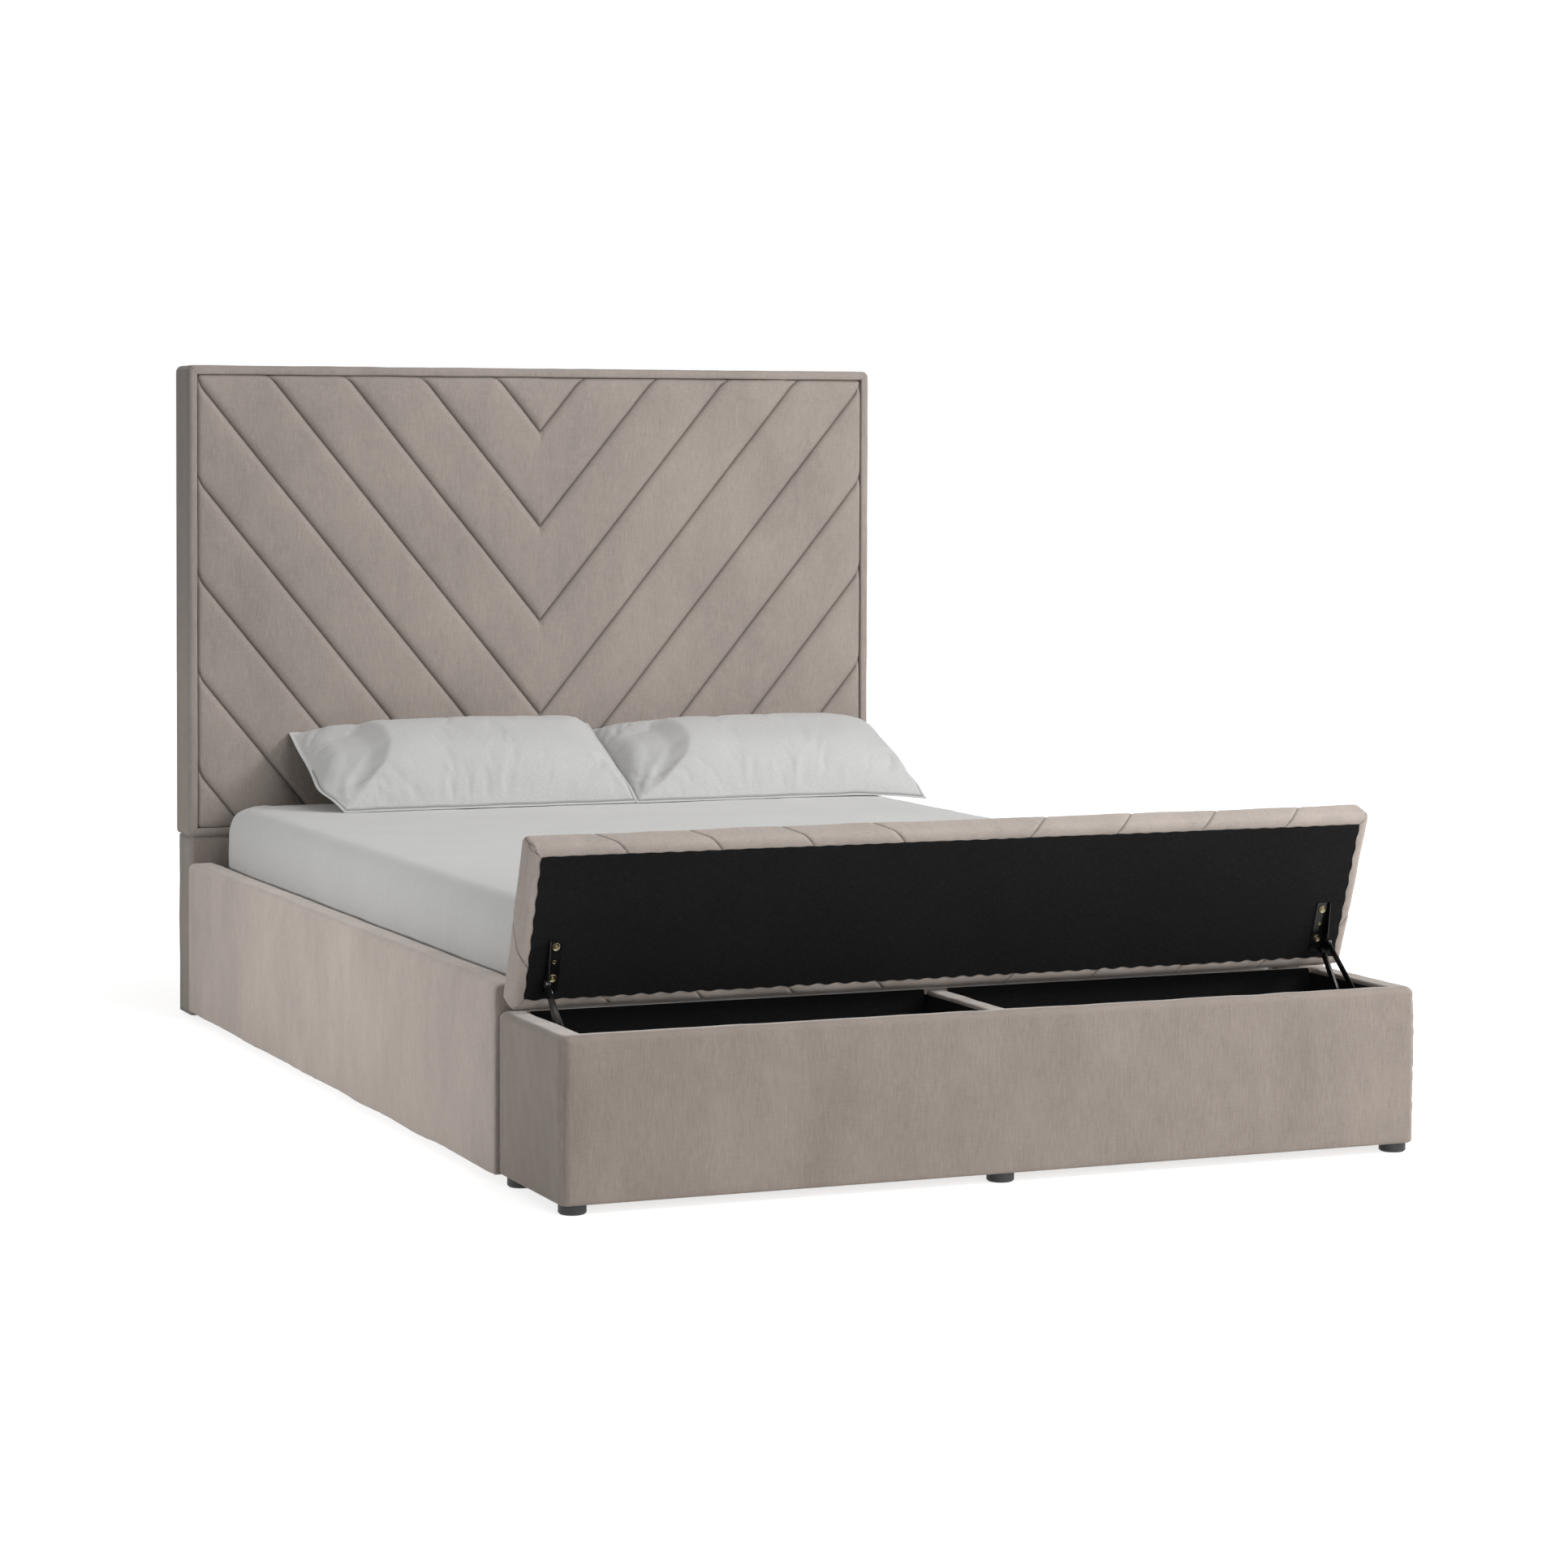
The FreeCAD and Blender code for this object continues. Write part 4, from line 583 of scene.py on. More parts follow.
ZINC = coated(
    "zinc_plate", (0.31, 0.265, 0.16), (0.18, 0.15, 0.09), 0.30, 900.0, 0.2, Metallic=1.0)
RIVET = coated(
    "rivet_steel", (0.10, 0.10, 0.105), (0.25, 0.25, 0.26), 0.32, 900.0, 0.2, Metallic=1.0)


# Headboard: the chevron panel
def chevron_panel():
    radius = 9.0
    length, profile = profile_along(quarter(radius, (0.0, radius), 0.0) + [(radius, PANEL_THICK)])
    half_flat = PANEL_HALF - radius
    reach_flat = (PANEL_TOP - PANEL_BOTTOM) / 2 - radius
    centre = (PANEL_TOP + PANEL_BOTTOM) / 2
    count = 9
    pitch = 2 * PANEL_HALF / count
    seam_z = PANEL_TOP - 16.0
    seams = [seam_z - centre - SEAM_RISE * (number + 0.5) * pitch for number in range(count)]
    flat, faces = chevron_grid(
        half_flat + length, reach_flat + length, seams, column_cell=5.6, row_cell=7.0)
    a, b, drop = wrapped(flat, half_flat, reach_flat, profile)
    points = np.stack([a, HEAD_FRONT_Y + drop, centre + b], 1)
    piece = mesh_piece("headboard_chevron_cover", points, faces, "frame", SKIN, VELVET_HEAD)
    distance = seam_distance(flat, seams)
    level = flat[:, 1]
    depth = seam_drop(distance, radius=26.0, depth=6.5, crease=2.6)
    for seam in seams:
        low = np.clip(seam - 17.0 - level, 0, None) + np.clip(level - seam, 0, None)
        depth = depth + 3.0 * bell(np.hypot(flat[:, 0] - 1.5 * np.sin(level / 9.0), low), 3.2)
    crown = 4.2 * (1 - (1 - np.clip(distance / 66.0, 0, 1)) ** 2.4)
    inside = np.minimum(half_flat - np.abs(flat[:, 0]), reach_flat - np.abs(level))
    lift = crown * rise(inside, 0, 40)
    lift += 0.8 * ripples(points, 210.0, 11) + 0.25 * ripples(points, 60.0, 12)
    fade = np.clip(1 - drop / 14.0, 0, 1)
    swell(piece, lambda *_: (lift - depth) * fade)
    work, slack = vertices_of(piece), 0.3
    work[:, 1] = np.minimum(work[:, 1], HEAD_FRONT_Y + PANEL_THICK)
    work[:, 0] = np.clip(work[:, 0], -PANEL_HALF - slack, PANEL_HALF + slack)
    work[:, 2] = np.clip(work[:, 2], PANEL_BOTTOM - slack, PANEL_TOP + slack)
    put_vertices(piece, work)
    # Painted shade along the creases of the chevron seams
    mark_painted_seam_shade(piece, 0.5 * bell(distance, 1.8) * fade)
    close_rims(piece, clean=True)
    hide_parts("headboard_chevron_panel")


# Headboard: the border in four mitred lengths
def corner_lines(corner, along, out, radius, run, count=15):
    """The outer and inner edge of a border length from its mitre to the end of the run.
    corner is the sharp outer corner; along leads away from it."""
    centre = corner + along * radius - out * radius
    arc = [centre + radius * (out * math.cos(angle) - along * math.sin(angle))
           for angle in np.linspace(math.pi / 4, 0, 9)]
    outer = np.array(arc + [corner + along * run])
    lengths = np.concatenate([[0], np.cumsum(np.linalg.norm(np.diff(outer, axis=0), axis=1))])
    shares = np.linspace(0, lengths[-1], count)
    outer = np.stack([np.interp(shares, lengths, outer[:, k]) for k in (0, 1)], 1)
    inner_corner = corner + (along - out) * BORDER_WIDTH
    return outer, inner_corner + along * np.linspace(0, run - BORDER_WIDTH, count)[:, None]


def border_length(side, start, end, out, depth, radii):
    start, end, out = (np.array(value, float) for value in (start, end, out))
    along = (end - start) / np.linalg.norm(end - start)
    run = 46.0
    first = corner_lines(start, along, out, radii[0], run)
    last = corner_lines(end, -along, out, radii[1], run)
    count = max(3, int(np.linalg.norm(end - start) / 11.0))
    shares = np.linspace(0, 1, count)[1:-1, None]
    outer, inner = (
        np.vstack([one, one[-1] + (other[-1] - one[-1]) * shares, other[::-1]])
        for one, other in zip(first, last))
    outline = rounded_outline(
        [(0.0, depth), (0.0, 0.0), (BORDER_WIDTH, 0.0), (BORDER_WIDTH, depth)],
        [0.0, 4.0, 11.0, 0.0], 9.0, 8)[0]
    rows = []
    for out_point, in_point in zip(outer, inner):
        flat = in_point + (out_point - in_point) * (outline[:, :1] / BORDER_WIDTH)
        rows.append(np.stack([flat[:, 0], HEAD_FRONT_Y + outline[:, 1], flat[:, 1]], 1))
    piece = with_caps("headboard_border_cover_" + side, np.vstack(rows),
                      ring_quads(len(rows), len(outline)), "frame", SKIN, VELVET_HEAD)
    ends = [np.array([x, HEAD_FRONT_Y, z]) for x, z in (start, end)]
    gathers = 0.9 if side == "top" else 0.5

    def unevenness(points, normals):
        reach = np.minimum(*(np.linalg.norm(points - place, axis=1) for place in ends))
        pull = bell(reach, 26.0)
        soft = 0.5 * ripples(points, 130.0, 21) + 0.2 * ripples(points, 34.0, 22)
        pleats = ripples(points, 6.5, 23, stretch=(1.0, 5.0, 1.0))
        free = np.clip((points[:, 1] - HEAD_FRONT_Y) / 4.0 + 0.3, 0, 1)
        shown = (np.abs(normals[:, 1]) < 0.98) & (points[:, 1] < HEAD_BACK_Y - 1)
        return shown * (soft * (1 - pull) * 0.6 + gathers * pull * pleats * free * 0.5)

    swell(piece, unevenness)
    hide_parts("headboard_border_" + side)


def border():
    top, low, half = HEAD_TOP, HEAD_PAD_BOTTOM, HALF_BED
    depth = HEAD_BACK_Y - HEAD_FRONT_Y
    border_length("top", (-half, top), (half, top), (0, 1), depth, (14.0, 14.0))
    border_length("left", (-half, low), (-half, top), (-1, 0), depth, (11.0, 14.0))
    border_length("right", (half, low), (half, top), (1, 0), depth, (11.0, 14.0))
    border_length("bottom", (-half, low), (half, low), (0, -1), PANEL_THICK, (11.0, 11.0))


# Headboard: the plain lower part, a front and two side returns
def lower_part():
    cover, boards, posts = "headboard_lower_cover", "headboard_front_board", "headboard_posts"
    half, inner, post = high_of(cover, X), high_of(boards, X), high_of(posts, X)
    bottom, top, front = low_of(cover, Z), HEAD_PAD_BOTTOM, LOWER_FRONT_Y
    board, timber, back = low_of(boards, Y), low_of(posts, Y), high_of(posts, Y)
    right = [(half, front), (half, HEAD_BACK_Y), (inner, HEAD_BACK_Y), (inner, back), (post, back),
             (post, timber), (inner, timber), (inner, board)]
    corners = right + [(-x, y) for x, y in right[::-1]]
    corners = corners[-2:] + corners[:-2]
    outline = rounded_outline(corners, [0.0, 8.0, 8.0] + [0.0] * 13, 12.0)
    stations = run_of(bottom, top, 12.0)
    piece = extrusion("headboard_lower_part", outline, stations, 0 * stations, [0, 1, 2],
                      VELVET_LOWER_PAINTED_SHADE)

    def unevenness(points, _):
        outer = (points[:, 1] < front + 2) | (np.abs(points[:, 0]) > half - 2)
        level = rise(np.minimum(points[:, 2] - (bottom + 2), top - 2 - points[:, 2]), 0, 20)
        return outer * level * (0.7 * ripples(points, 160.0, 31) + 0.3 * ripples(points, 45.0, 32))

    swell(piece, unevenness)
    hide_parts("headboard_lower_cover")


# Side rails
def rail(side, seed):
    low, high, bottom, top = HALF_BED - RAIL_WIDTH, HALF_BED, RAIL_BOTTOM, RAIL_TOP
    foot, shoulder = 6.0, 14.0
    outline = rounded_outline([(low, bottom), (high, bottom), (high, top), (low, top)],
                              [foot, foot, shoulder, shoulder], 10.0, 8)
    stations, insets = rounded_ends(RAIL_FRONT_Y, LOWER_FRONT_Y, 5.0, 10.0)
    # The back end butts the headboard, so it stays square
    insets = np.where(stations > 0, 0.0, insets)
    piece = extrusion("side_rail_" + side, outline, stations, insets, [0, 2, 1], VELVET_RAIL_PAINTED_LIGHT)
    points, normals = vertices_of(piece), normals_of(piece)
    y, z = points[:, 1], points[:, 2]
    outward = np.clip(normals[:, 0], 0, 1)
    crown = 2.0 * rise(normals[:, 2], 0.3, 0.7)
    belly = 1.6 * (rise(z, bottom, 90) * fall(z, top, 60)) * outward
    ends = rise(y, RAIL_FRONT_Y, 30) * fall(y, LOWER_FRONT_Y, 12)
    soft = 0.9 * ripples(points, 190.0, seed) + 0.3 * ripples(points, 48.0, seed + 1)
    tug = bell(top - 26.0 - z, 26.0) * outward
    creases = 0.45 * tug * ripples(points, 30.0, seed + 2, stretch=(1.0, 1.0, 4.0))
    inner = np.clip(1 + normals[:, 0] * 1.5, 0, 1)
    points = points + normals * ((crown + belly + soft * inner + creases) * ends)[:, None]
    points[:, 0] = np.maximum(points[:, 0], low)
    if side == "left":
        points[:, 0] *= -1
        piece.data.flip_normals()
    put_vertices(piece, points)
    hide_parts("rail_cover_" + side)


# Storage bench: one sewn cover round its four padded walls
def bench_cover():
    half, front, back = BENCH_HALF, BENCH_FRONT_Y, BENCH_BACK_Y
    low, high = BENCH_BOTTOM, BENCH_TOP
    radius, roll, inner_roll, hem = 15.0, 13.0, 7.0, 5.0
    places = []

    def straight(o0, o1, i0, i1, width, cell=9.0):
        count = max(2, int(np.linalg.norm(np.subtract(o1, o0)) / cell))
        for share in np.linspace(0, 1, count + 1)[:-1]:
            places.append((np.add(o0, np.subtract(o1, o0) * share),
                           np.add(i0, np.subtract(i1, i0) * share), width))

    def bend(centre, start, corner_inner, width0, width1, steps=12):
        for step in range(steps):
            angle = start + math.pi / 2 * step / steps
            places.append((
                np.array(centre) + radius * np.array([math.cos(angle), math.sin(angle)]),
                np.array(corner_inner, float), width0 + (width1 - width0) * step / steps))

    cx, cf, cb = CAVITY_X, CAVITY_FRONT_Y, CAVITY_BACK_Y
    straight((-half + radius, front), (half - radius, front), (-cx, cf), (cx, cf), FRONT_WALL)
    bend((half - radius, front + radius), -math.pi / 2, (cx, cf), FRONT_WALL, SIDE_WALL)
    straight((half, front + radius), (half, back), (cx, cf), (cx, cb), SIDE_WALL)
    straight((half, back), (-half, back), (cx, cb), (-cx, cb), BACK_WALL)
    straight((-half, back), (-half, front + radius), (-cx, cb), (-cx, cf), SIDE_WALL)
    bend((-half + radius, front + radius), math.pi, (-cx, cf), SIDE_WALL, FRONT_WALL)
    section = [("in", 0.0, low), ("out", hem, low)]
    section += [("out", hem - hem * math.sin(a), low + hem - hem * math.cos(a))
                for a in np.linspace(0, math.pi / 2, 5)[1:]]
    section += [("out", 0.0, z) for z in run_of(low + hem, high - roll, 8.0)[1:]]
    section += [("out", roll - roll * math.cos(a), high - roll + roll * math.sin(a))
                for a in np.linspace(0, math.pi / 2, 9)[1:]]
    section += [("in", inner_roll - inner_roll * math.sin(a),
                 high - inner_roll + inner_roll * math.cos(a))
                for a in np.linspace(0, math.pi / 2, 7)]
    section += [("in", 0.0, z) for z in run_of(high - inner_roll, low, 14.0)[1:-1]]
    rows = []
    for out_point, in_point, width in places:
        for kind, distance, z in section:
            share = distance / width if kind == "out" else 1 - distance / width
            rows.append((*(out_point + (in_point - out_point) * share), z))
    faces = ring_quads(len(places) + 1, len(section))[:, [0, 3, 2, 1]] % len(rows)
    piece = with_caps("bench_cover", np.array(rows), faces, "frame", SKIN, VELVET_BENCH)

    def unevenness(points, normals):
        x, y, z = points.T
        free = rise(z, low, 14) * fall(z, high + 6, 30)
        outward = ((np.abs(x) > half - 3) | (y < front + 3)).astype(float)
        soft = 0.9 * ripples(points, 170.0, 51) + 0.35 * ripples(points, 48.0, 52)
        corner = bell(np.hypot(np.abs(x) - half + 6, y - front - 6), 16.0)
        wrinkles = 0.7 * corner * ripples(points, 15.0, 53, stretch=(3.0, 3.0, 1.0))
        rim = np.clip(normals[:, 2], 0, 1) * (0.5 * ripples(points, 90.0, 54))
        belly = outward * rise(z, low, 60) * fall(z, high, 60)
        return (outward * (soft + wrinkles) * free + belly + rim) * fall(y, CAVITY_BACK_Y - 4, 6)

    swell(piece, unevenness)
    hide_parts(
        "bench_front_cover", "bench_back_cover", "bench_side_cover_left",
        "bench_side_cover_right")


def divider():
    half, low, high, bend = DIVIDER_HALF, FLOOR_TOP, DIVIDER_TOP, 9.0
    outline = rounded_outline(
        [(-half, low), (half, low), (half, high), (-half, high)], [0.0, 0.0, bend, bend], 12.0, 7)
    stations = run_of(CAVITY_FRONT_Y, CAVITY_BACK_Y, 9.0)
    piece = extrusion("bench_divider", outline, stations, 0 * stations, [0, 2, 1], VELVET_BENCH)
    swell(piece, lambda p, _: (p[:, 2] > high - 11) * 0.5 * ripples(p, 60.0, 61)
          * rise(p[:, 1], CAVITY_FRONT_Y, 20) * fall(p[:, 1], CAVITY_BACK_Y, 20))
    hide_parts("bench_divider_cover")


# Black cloth that lines each half of the box, drawn tight over the walls and the floor, and over
# the inner edge of the back wall
def liner(side, seed):
    gap, radius, roll_radius, lap = 0.6, 3.0, 7.6, 11.0
    low = np.array([DIVIDER_HALF, CAVITY_FRONT_Y, FLOOR_TOP]) + gap
    high = np.array([CAVITY_X - gap, CAVITY_BACK_Y - gap, LINER_TOP])
    xs = edge_line(low[0], high[0], radius, 12.0, 3)
    ys = edge_line(low[1], high[1], radius, 12.0, 3)
    zs = edge_line(low[2], 2 * high[2] - low[2], radius, 12.0, 3)
    # The grid goes on far above the walls; only what laps over the back wall is kept of that
    rows_over = LINER_TOP + np.arange(0.0, 12.1, 1.5)
    zs = np.concatenate([zs[zs < LINER_TOP - radius], rows_over, [400.0]])
    points, faces = block_grid(xs, ys, zs)
    shaped, normals = soften(points, low, high + np.array([0, 0, 150.0]), radius)
    on_back = (normals[:, 1] > 0.99) & (shaped[:, 2] < LINER_TOP + lap)
    keep = (shaped[:, 2] < LINER_TOP + 0.1) | on_back
    used, faces = compact(faces[keep[faces].all(1)], len(shaped))
    shaped, normals = shaped[used], normals[used]
    past = np.clip(shaped[:, 2] - LINER_TOP, 0, None)
    over = past > 1.0
    roll = (past - 1.0) / roll_radius
    shaped[:, 1] = np.where(over, CAVITY_BACK_Y + 7.0 - roll_radius * np.cos(roll), shaped[:, 1])
    shaped[:, 2] = np.where(over, LINER_TOP + 1.0 + roll_radius * np.sin(roll), shaped[:, 2])
    ease = 0.5 + 0.5 * ripples(shaped, 120.0, seed)
    folds = np.clip(ripples(shaped, 70.0, seed + 1, stretch=(1.0, 1.0, 3.0)), 0, None)
    wall = np.abs(normals[:, 2]) < 0.5
    near_hinge = shaped[:, 0] > CAVITY_X - 12.0
    lift = np.where(near_hinge, 0.0, np.clip(0.5 * ease + 1.2 * folds * wall, 0, 2.5))
    lift = lift * (1 - (normals[:, 1] > 0.5) * rise(shaped[:, 2] - LINER_TOP, -16.0, 14.0))
    shaped = shaped - normals * lift[:, None]
    if side == "left":
        shaped[:, 0] *= -1
        faces = [face[::-1] for face in faces]
    piece = mesh_piece("box_lining_" + side, shaped, faces, "frame", "cover_cloth", LINER_CLOTH)
    # Metres from here on
    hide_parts("box_liner_" + side)


# Lid: padding with channels over the top and the boxing, modelled closed and then opened
def opened(points):
    pole = np.array(LID_POLE)
    turn = np.array(Matrix.Rotation(LID_ANGLE, 3, "X"))
    return (points - pole) @ turn.T + pole


def lid_pad():
    radius, low_bend, hem = 12.0, 13.0, 24.0
    tall = LID_TOP - LID_LOW - 0.8
    bends = quarter(radius, (0.0, radius), 0.0) + [(radius, tall - low_bend)]
    bends += quarter(low_bend, (radius - low_bend, tall - low_bend), math.pi / 2, 8)
    under_run = hem - low_bend
    bends += [(radius - low_bend - under_run * share, tall) for share in (0.35, 0.7, 1.0)]
    bends += [(radius - hem, tall - 1.4)]
    length, profile = profile_along(bends)
    half_flat = BENCH_HALF - radius
    reach_flat = (BENCH_BACK_Y - BENCH_FRONT_Y) / 2 - radius
    pitch = 173.0
    front = -(reach_flat + radius)
    seams = [front - SEAM_RISE * number * pitch for number in range(-1, 6)]
    flat, faces = chevron_grid(
        half_flat + length, reach_flat + length, seams, column_cell=3.6, row_cell=5.0)
    a, b, drop = wrapped(flat, half_flat, reach_flat, profile)
    centre = (BENCH_BACK_Y + BENCH_FRONT_Y) / 2
    points = np.stack([a, centre + b, LID_TOP - drop], 1)
    piece = mesh_piece("lid_padding", points, faces, "lid", SKIN, VELVET_LID_PAINTED_LIGHT)
    distance = seam_distance(flat, seams)
    past_a, past_b = np.abs(flat[:, 0]) - half_flat, np.abs(flat[:, 1]) - reach_flat
    past = np.maximum(past_a, past_b)
    fade = fall(past, length - 3.0, 10.0)
    on_edge = rise(past, 0, 8.0)
    mitre = bell(past_a - past_b, 3.2) * rise(np.minimum(past_a, past_b), 7, 6)
    depth = seam_drop(distance, radius=18.0, depth=3.2, crease=1.6) * (1 - 0.72 * on_edge)
    depth = depth + 0.9 * on_edge * bell(distance, 2.2)
    depth = depth + 1.5 * mitre
    crown = 1.8 * (1 - (1 - np.clip(distance / 50.0, 0, 1)) ** 2)
    inside = fall(past, 0, 30)
    edge = 0.45 * ripples(points, 80.0, 81) + 0.15 * ripples(points, 22.0, 82)
    soft = 0.7 * ripples(points, 150.0, 83)
    lift = crown * inside + (edge * (1 - inside) + soft) * 0.8
    swell(piece, lambda *_: (lift - depth) * fade)
    work = vertices_of(piece)
    work[:, 1] = np.where(drop > 2.0, np.minimum(work[:, 1], BENCH_BACK_Y + 0.5), work[:, 1])
    put_vertices(piece, opened(work))
    # Painted shade along the creases of the lid's seams and corner mitres
    line = bell(distance, 1.7) * (1 - 0.15 * on_edge)
    mark_painted_seam_shade(piece, np.maximum(line, 0.9 * mitre) * (past < length - 2.0))
    close_rims(piece, clean=True)
    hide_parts("lid_pad")


def dust_cover():
    """Black cloth stapled under the lid: its turned edge waves between the staples."""
    margin, staples, edge = 20.0, 36.0, 9.0
    half = BENCH_HALF - margin
    front, back = BENCH_FRONT_Y + margin, BENCH_BACK_Y - margin
    centre, reach = (front + back) / 2, (back - front) / 2
    x, y = np.meshgrid(run_of(-half, half, 4.0), run_of(-reach, reach, 4.0), indexing="ij")
    near_x = np.exp(-(half - np.abs(x)) / edge)
    near_y = np.exp(-(reach - np.abs(y)) / edge)
    shift = np.random.default_rng(91).uniform(-0.6, 0.6, 6)
    wave_x = np.cos(2 * math.pi * y / staples + shift[0] + 0.7 * np.sin(y / 95.0))
    wave_y = np.cos(2 * math.pi * x / staples + shift[1] + 0.9 * np.sin(x / 130.0))
    uneven = 1 + 0.35 * np.sin(x / 47.0 + shift[2])
    depth_y = np.where(y > 0, 1.25, 0.55)
    pulled_x = x - np.sign(x) * near_x * 1.1 * (1 + wave_x)
    pulled_y = y - np.sign(y) * near_y * depth_y * (1 + wave_y) * uneven
    flat = np.stack([x.ravel(), y.ravel(), np.zeros(x.size)], 1)
    sag = 0.25 * ripples(flat, 90.0, 92) + 0.5 * (
        near_x * (1 - wave_x) + near_y * (1 - wave_y)).ravel()
    level = LID_LOW + 0.35 - np.clip(0.3 + sag, 0, 1.2) * 0.5
    points = np.stack([pulled_x.ravel(), centre + pulled_y.ravel(), level], 1)
    faces = grid_quads(np.arange(x.size).reshape(x.shape))[:, [0, 3, 2, 1]]
    piece = mesh_piece(
        "lid_under_cloth", opened(points), faces, "lid", "cover_cloth", BLACK_CLOTH)
    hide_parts("lid_dust_cover")


# Mattress in its fitted sheet
def mattress_shape(inset, cell):
    low = np.array([-HALF_MATTRESS + inset, MATTRESS_Y[0] + inset, MATTRESS_BOTTOM + inset])
    high = np.array([HALF_MATTRESS - inset, MATTRESS_Y[1] - inset, MATTRESS_TOP - inset])
    radius, low_radius, corner, crown = 56.0, 28.0, 96.0, 6.6
    points, faces = block_grid(*(edge_line(low[k], high[k], radius, cell, 8) for k in range(3)))
    radii = np.where(points[:, 2] > MATTRESS_WAIST, radius, low_radius)
    shaped, normals = soften(points, low, high, radii)
    x, y, z = shaped.T
    centre_y = (low[1] + high[1]) / 2
    room_x, room_y = high[0] - corner, (high[1] - low[1]) / 2 - corner
    away_x, away_y = np.abs(x) - room_x, np.abs(y - centre_y) - room_y
    both = (away_x > 0) & (away_y > 0)
    most = np.maximum(away_x, away_y)
    toward_x, toward_y = round_corner(away_x, away_y)
    x = np.where(both, np.sign(x) * (room_x + most * toward_x), x)
    y = np.where(both, centre_y + np.sign(y - centre_y) * (room_y + most * toward_y), y)
    room = np.minimum(HALF_MATTRESS - np.abs(x), HALF_LENGTH - np.abs(y - centre_y))
    z = z + crown * np.sin(math.pi / 2 * rise(room, 6, 150)) * rise(z, 400, 60)
    return np.stack([x, y, z], 1), normals, faces


def mattress():
    shaped, normals, faces = mattress_shape(2.0, 20.0)
    middle = np.clip(1 - np.abs(shaped[:, 2] - MATTRESS_WAIST) / 100.0, 0, 1)
    shaped = shaped - normals * (4.0 * middle * (np.abs(normals[:, 2]) < 0.5))[:, None]
    piece = with_caps("mattress_core", shaped, faces, "frame", "sheet_cloth", SHEET_CLOTH)
    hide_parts("mattress")


def fitted_sheet():
    shaped, normals, faces = mattress_shape(0.4, 10.0)
    x, y, z = shaped.T
    away_y = np.abs(y - MATTRESS_MID_Y)
    side = (np.abs(normals[:, 2]) < 0.7).astype(float)
    middle = np.clip(1 - np.abs(z - MATTRESS_WAIST) / 100.0, 0, 1)
    folds = ripples(shaped, 46.0, 101, stretch=(1.0, 1.0, 5.0))
    corner = bell(np.hypot(np.abs(x) - HALF_MATTRESS + 30, away_y - HALF_LENGTH + 30), 75.0)
    pull = 1.1 * side * folds * rise(z, 300.0, 80.0) + 2.2 * corner * ripples(
        shaped, 30.0, 102, stretch=(1.0, 1.0, 3.0)) * rise(z, 260, 90)
    top = (normals[:, 2] > 0.7) * (
        0.5 * ripples(shaped, 160.0, 103) + 0.25 * ripples(shaped, 50.0, 104))
    lift = -3.2 * middle * side + pull + top
    shaped = shaped + normals * np.clip(lift, -4.0, 2.4)[:, None]
    shaped[:, 2] = np.maximum(shaped[:, 2], MATTRESS_BOTTOM)
    hole = np.minimum(HALF_MATTRESS - np.abs(x), HALF_LENGTH - away_y) > 70.0
    keep = ~((normals[:, 2] < -0.9) & hole)
    used, faces = compact(faces[keep[faces].all(1)], len(shaped))
    piece = mesh_piece(
        "fitted_sheet", shaped[used], faces, "frame", "sheet_cloth", SHEET_CLOTH)


# Pillows: a sewn case with a flat stitched hem, blown up by a cloth simulation from a slightly
# smaller shape, then leaned on the headboard. u runs along a pillow and v up its face.
HALF_U, HALF_V = 358.0, 177.5
PILLOW_HEM = 10.0
HEM_LINES = (0.0, 2.0, 3.6, 4.6, 5.6, 7.4, 8.6, 9.8, 12.0, 16.0, 21.0, 27.0)
# Folds that start at the hem: start, end, width, depth
FOLDS = (
    ((-350.0, -168.0), (-228.0, -14.0), 8.0, 3.6), ((-346.0, -156.0), (-262.0, 6.0), 8.0, -2.6),
    ((-350.0, -90.0), (-296.0, 10.0), 12.0, 2.0),
    ((350.0, -168.0), (246.0, -60.0), 12.0, 3.0), ((344.0, -130.0), (266.0, 0.0), 10.0, -2.0),
    ((-96.0, -168.0), (-70.0, -96.0), 6.0, 4.8), ((-78.0, -168.0), (-60.0, -112.0), 4.8, -4.4),
    ((-30.0, -168.0), (-6.0, -100.0), 6.0, 4.4), ((0.0, -168.0), (12.0, -132.0), 4.8, -4.2),
    ((30.0, -168.0), (58.0, -88.0), 6.5, 5.4), ((52.0, -168.0), (76.0, -108.0), 5.2, -4.8),
    ((84.0, -168.0), (104.0, -112.0), 5.5, 4.0), ((150.0, -168.0), (168.0, -126.0), 6.5, 2.6),
    ((-190.0, -168.0), (-168.0, -122.0), 6.5, 2.8),
)


def hem_lines(half, cell):
    """Grid lines across the pillow: close together at the stitched hem."""
    near, start = np.array(HEM_LINES), half - 33.0
    return np.concatenate([near - half, run_of(-start, start, cell), half - near[::-1]])


def arc_height(away, run, height):
    """Height of a circular arc that starts at a hem and is level after the run."""
    radius = (run ** 2 + height ** 2) / (2 * height)
    return height - radius + np.sqrt(radius ** 2 - np.clip(run - away, 0, run) ** 2)


def pillow_height(u, v, crown, end_crown):
    """Crowned between the long hems and falling to the hems at both ends."""
    across = arc_height(np.clip(HALF_V - PILLOW_HEM - np.abs(v), 0, None), 167.5, crown)
    end_run = np.where(u < 0, 228.0 + 120.0 * np.clip(np.abs(v) / 125.0, 0, 1.1) ** 1.5, 172.0)
    ends = arc_height(np.clip(HALF_U - PILLOW_HEM - np.abs(u), 0, None), end_run, end_crown)
    blend = 5.0
    low = np.minimum(across, ends)
    return np.maximum(low - blend * np.exp(-np.abs(across - ends) / blend) * (
        low / (low + 20.0)), 0) + 1.5


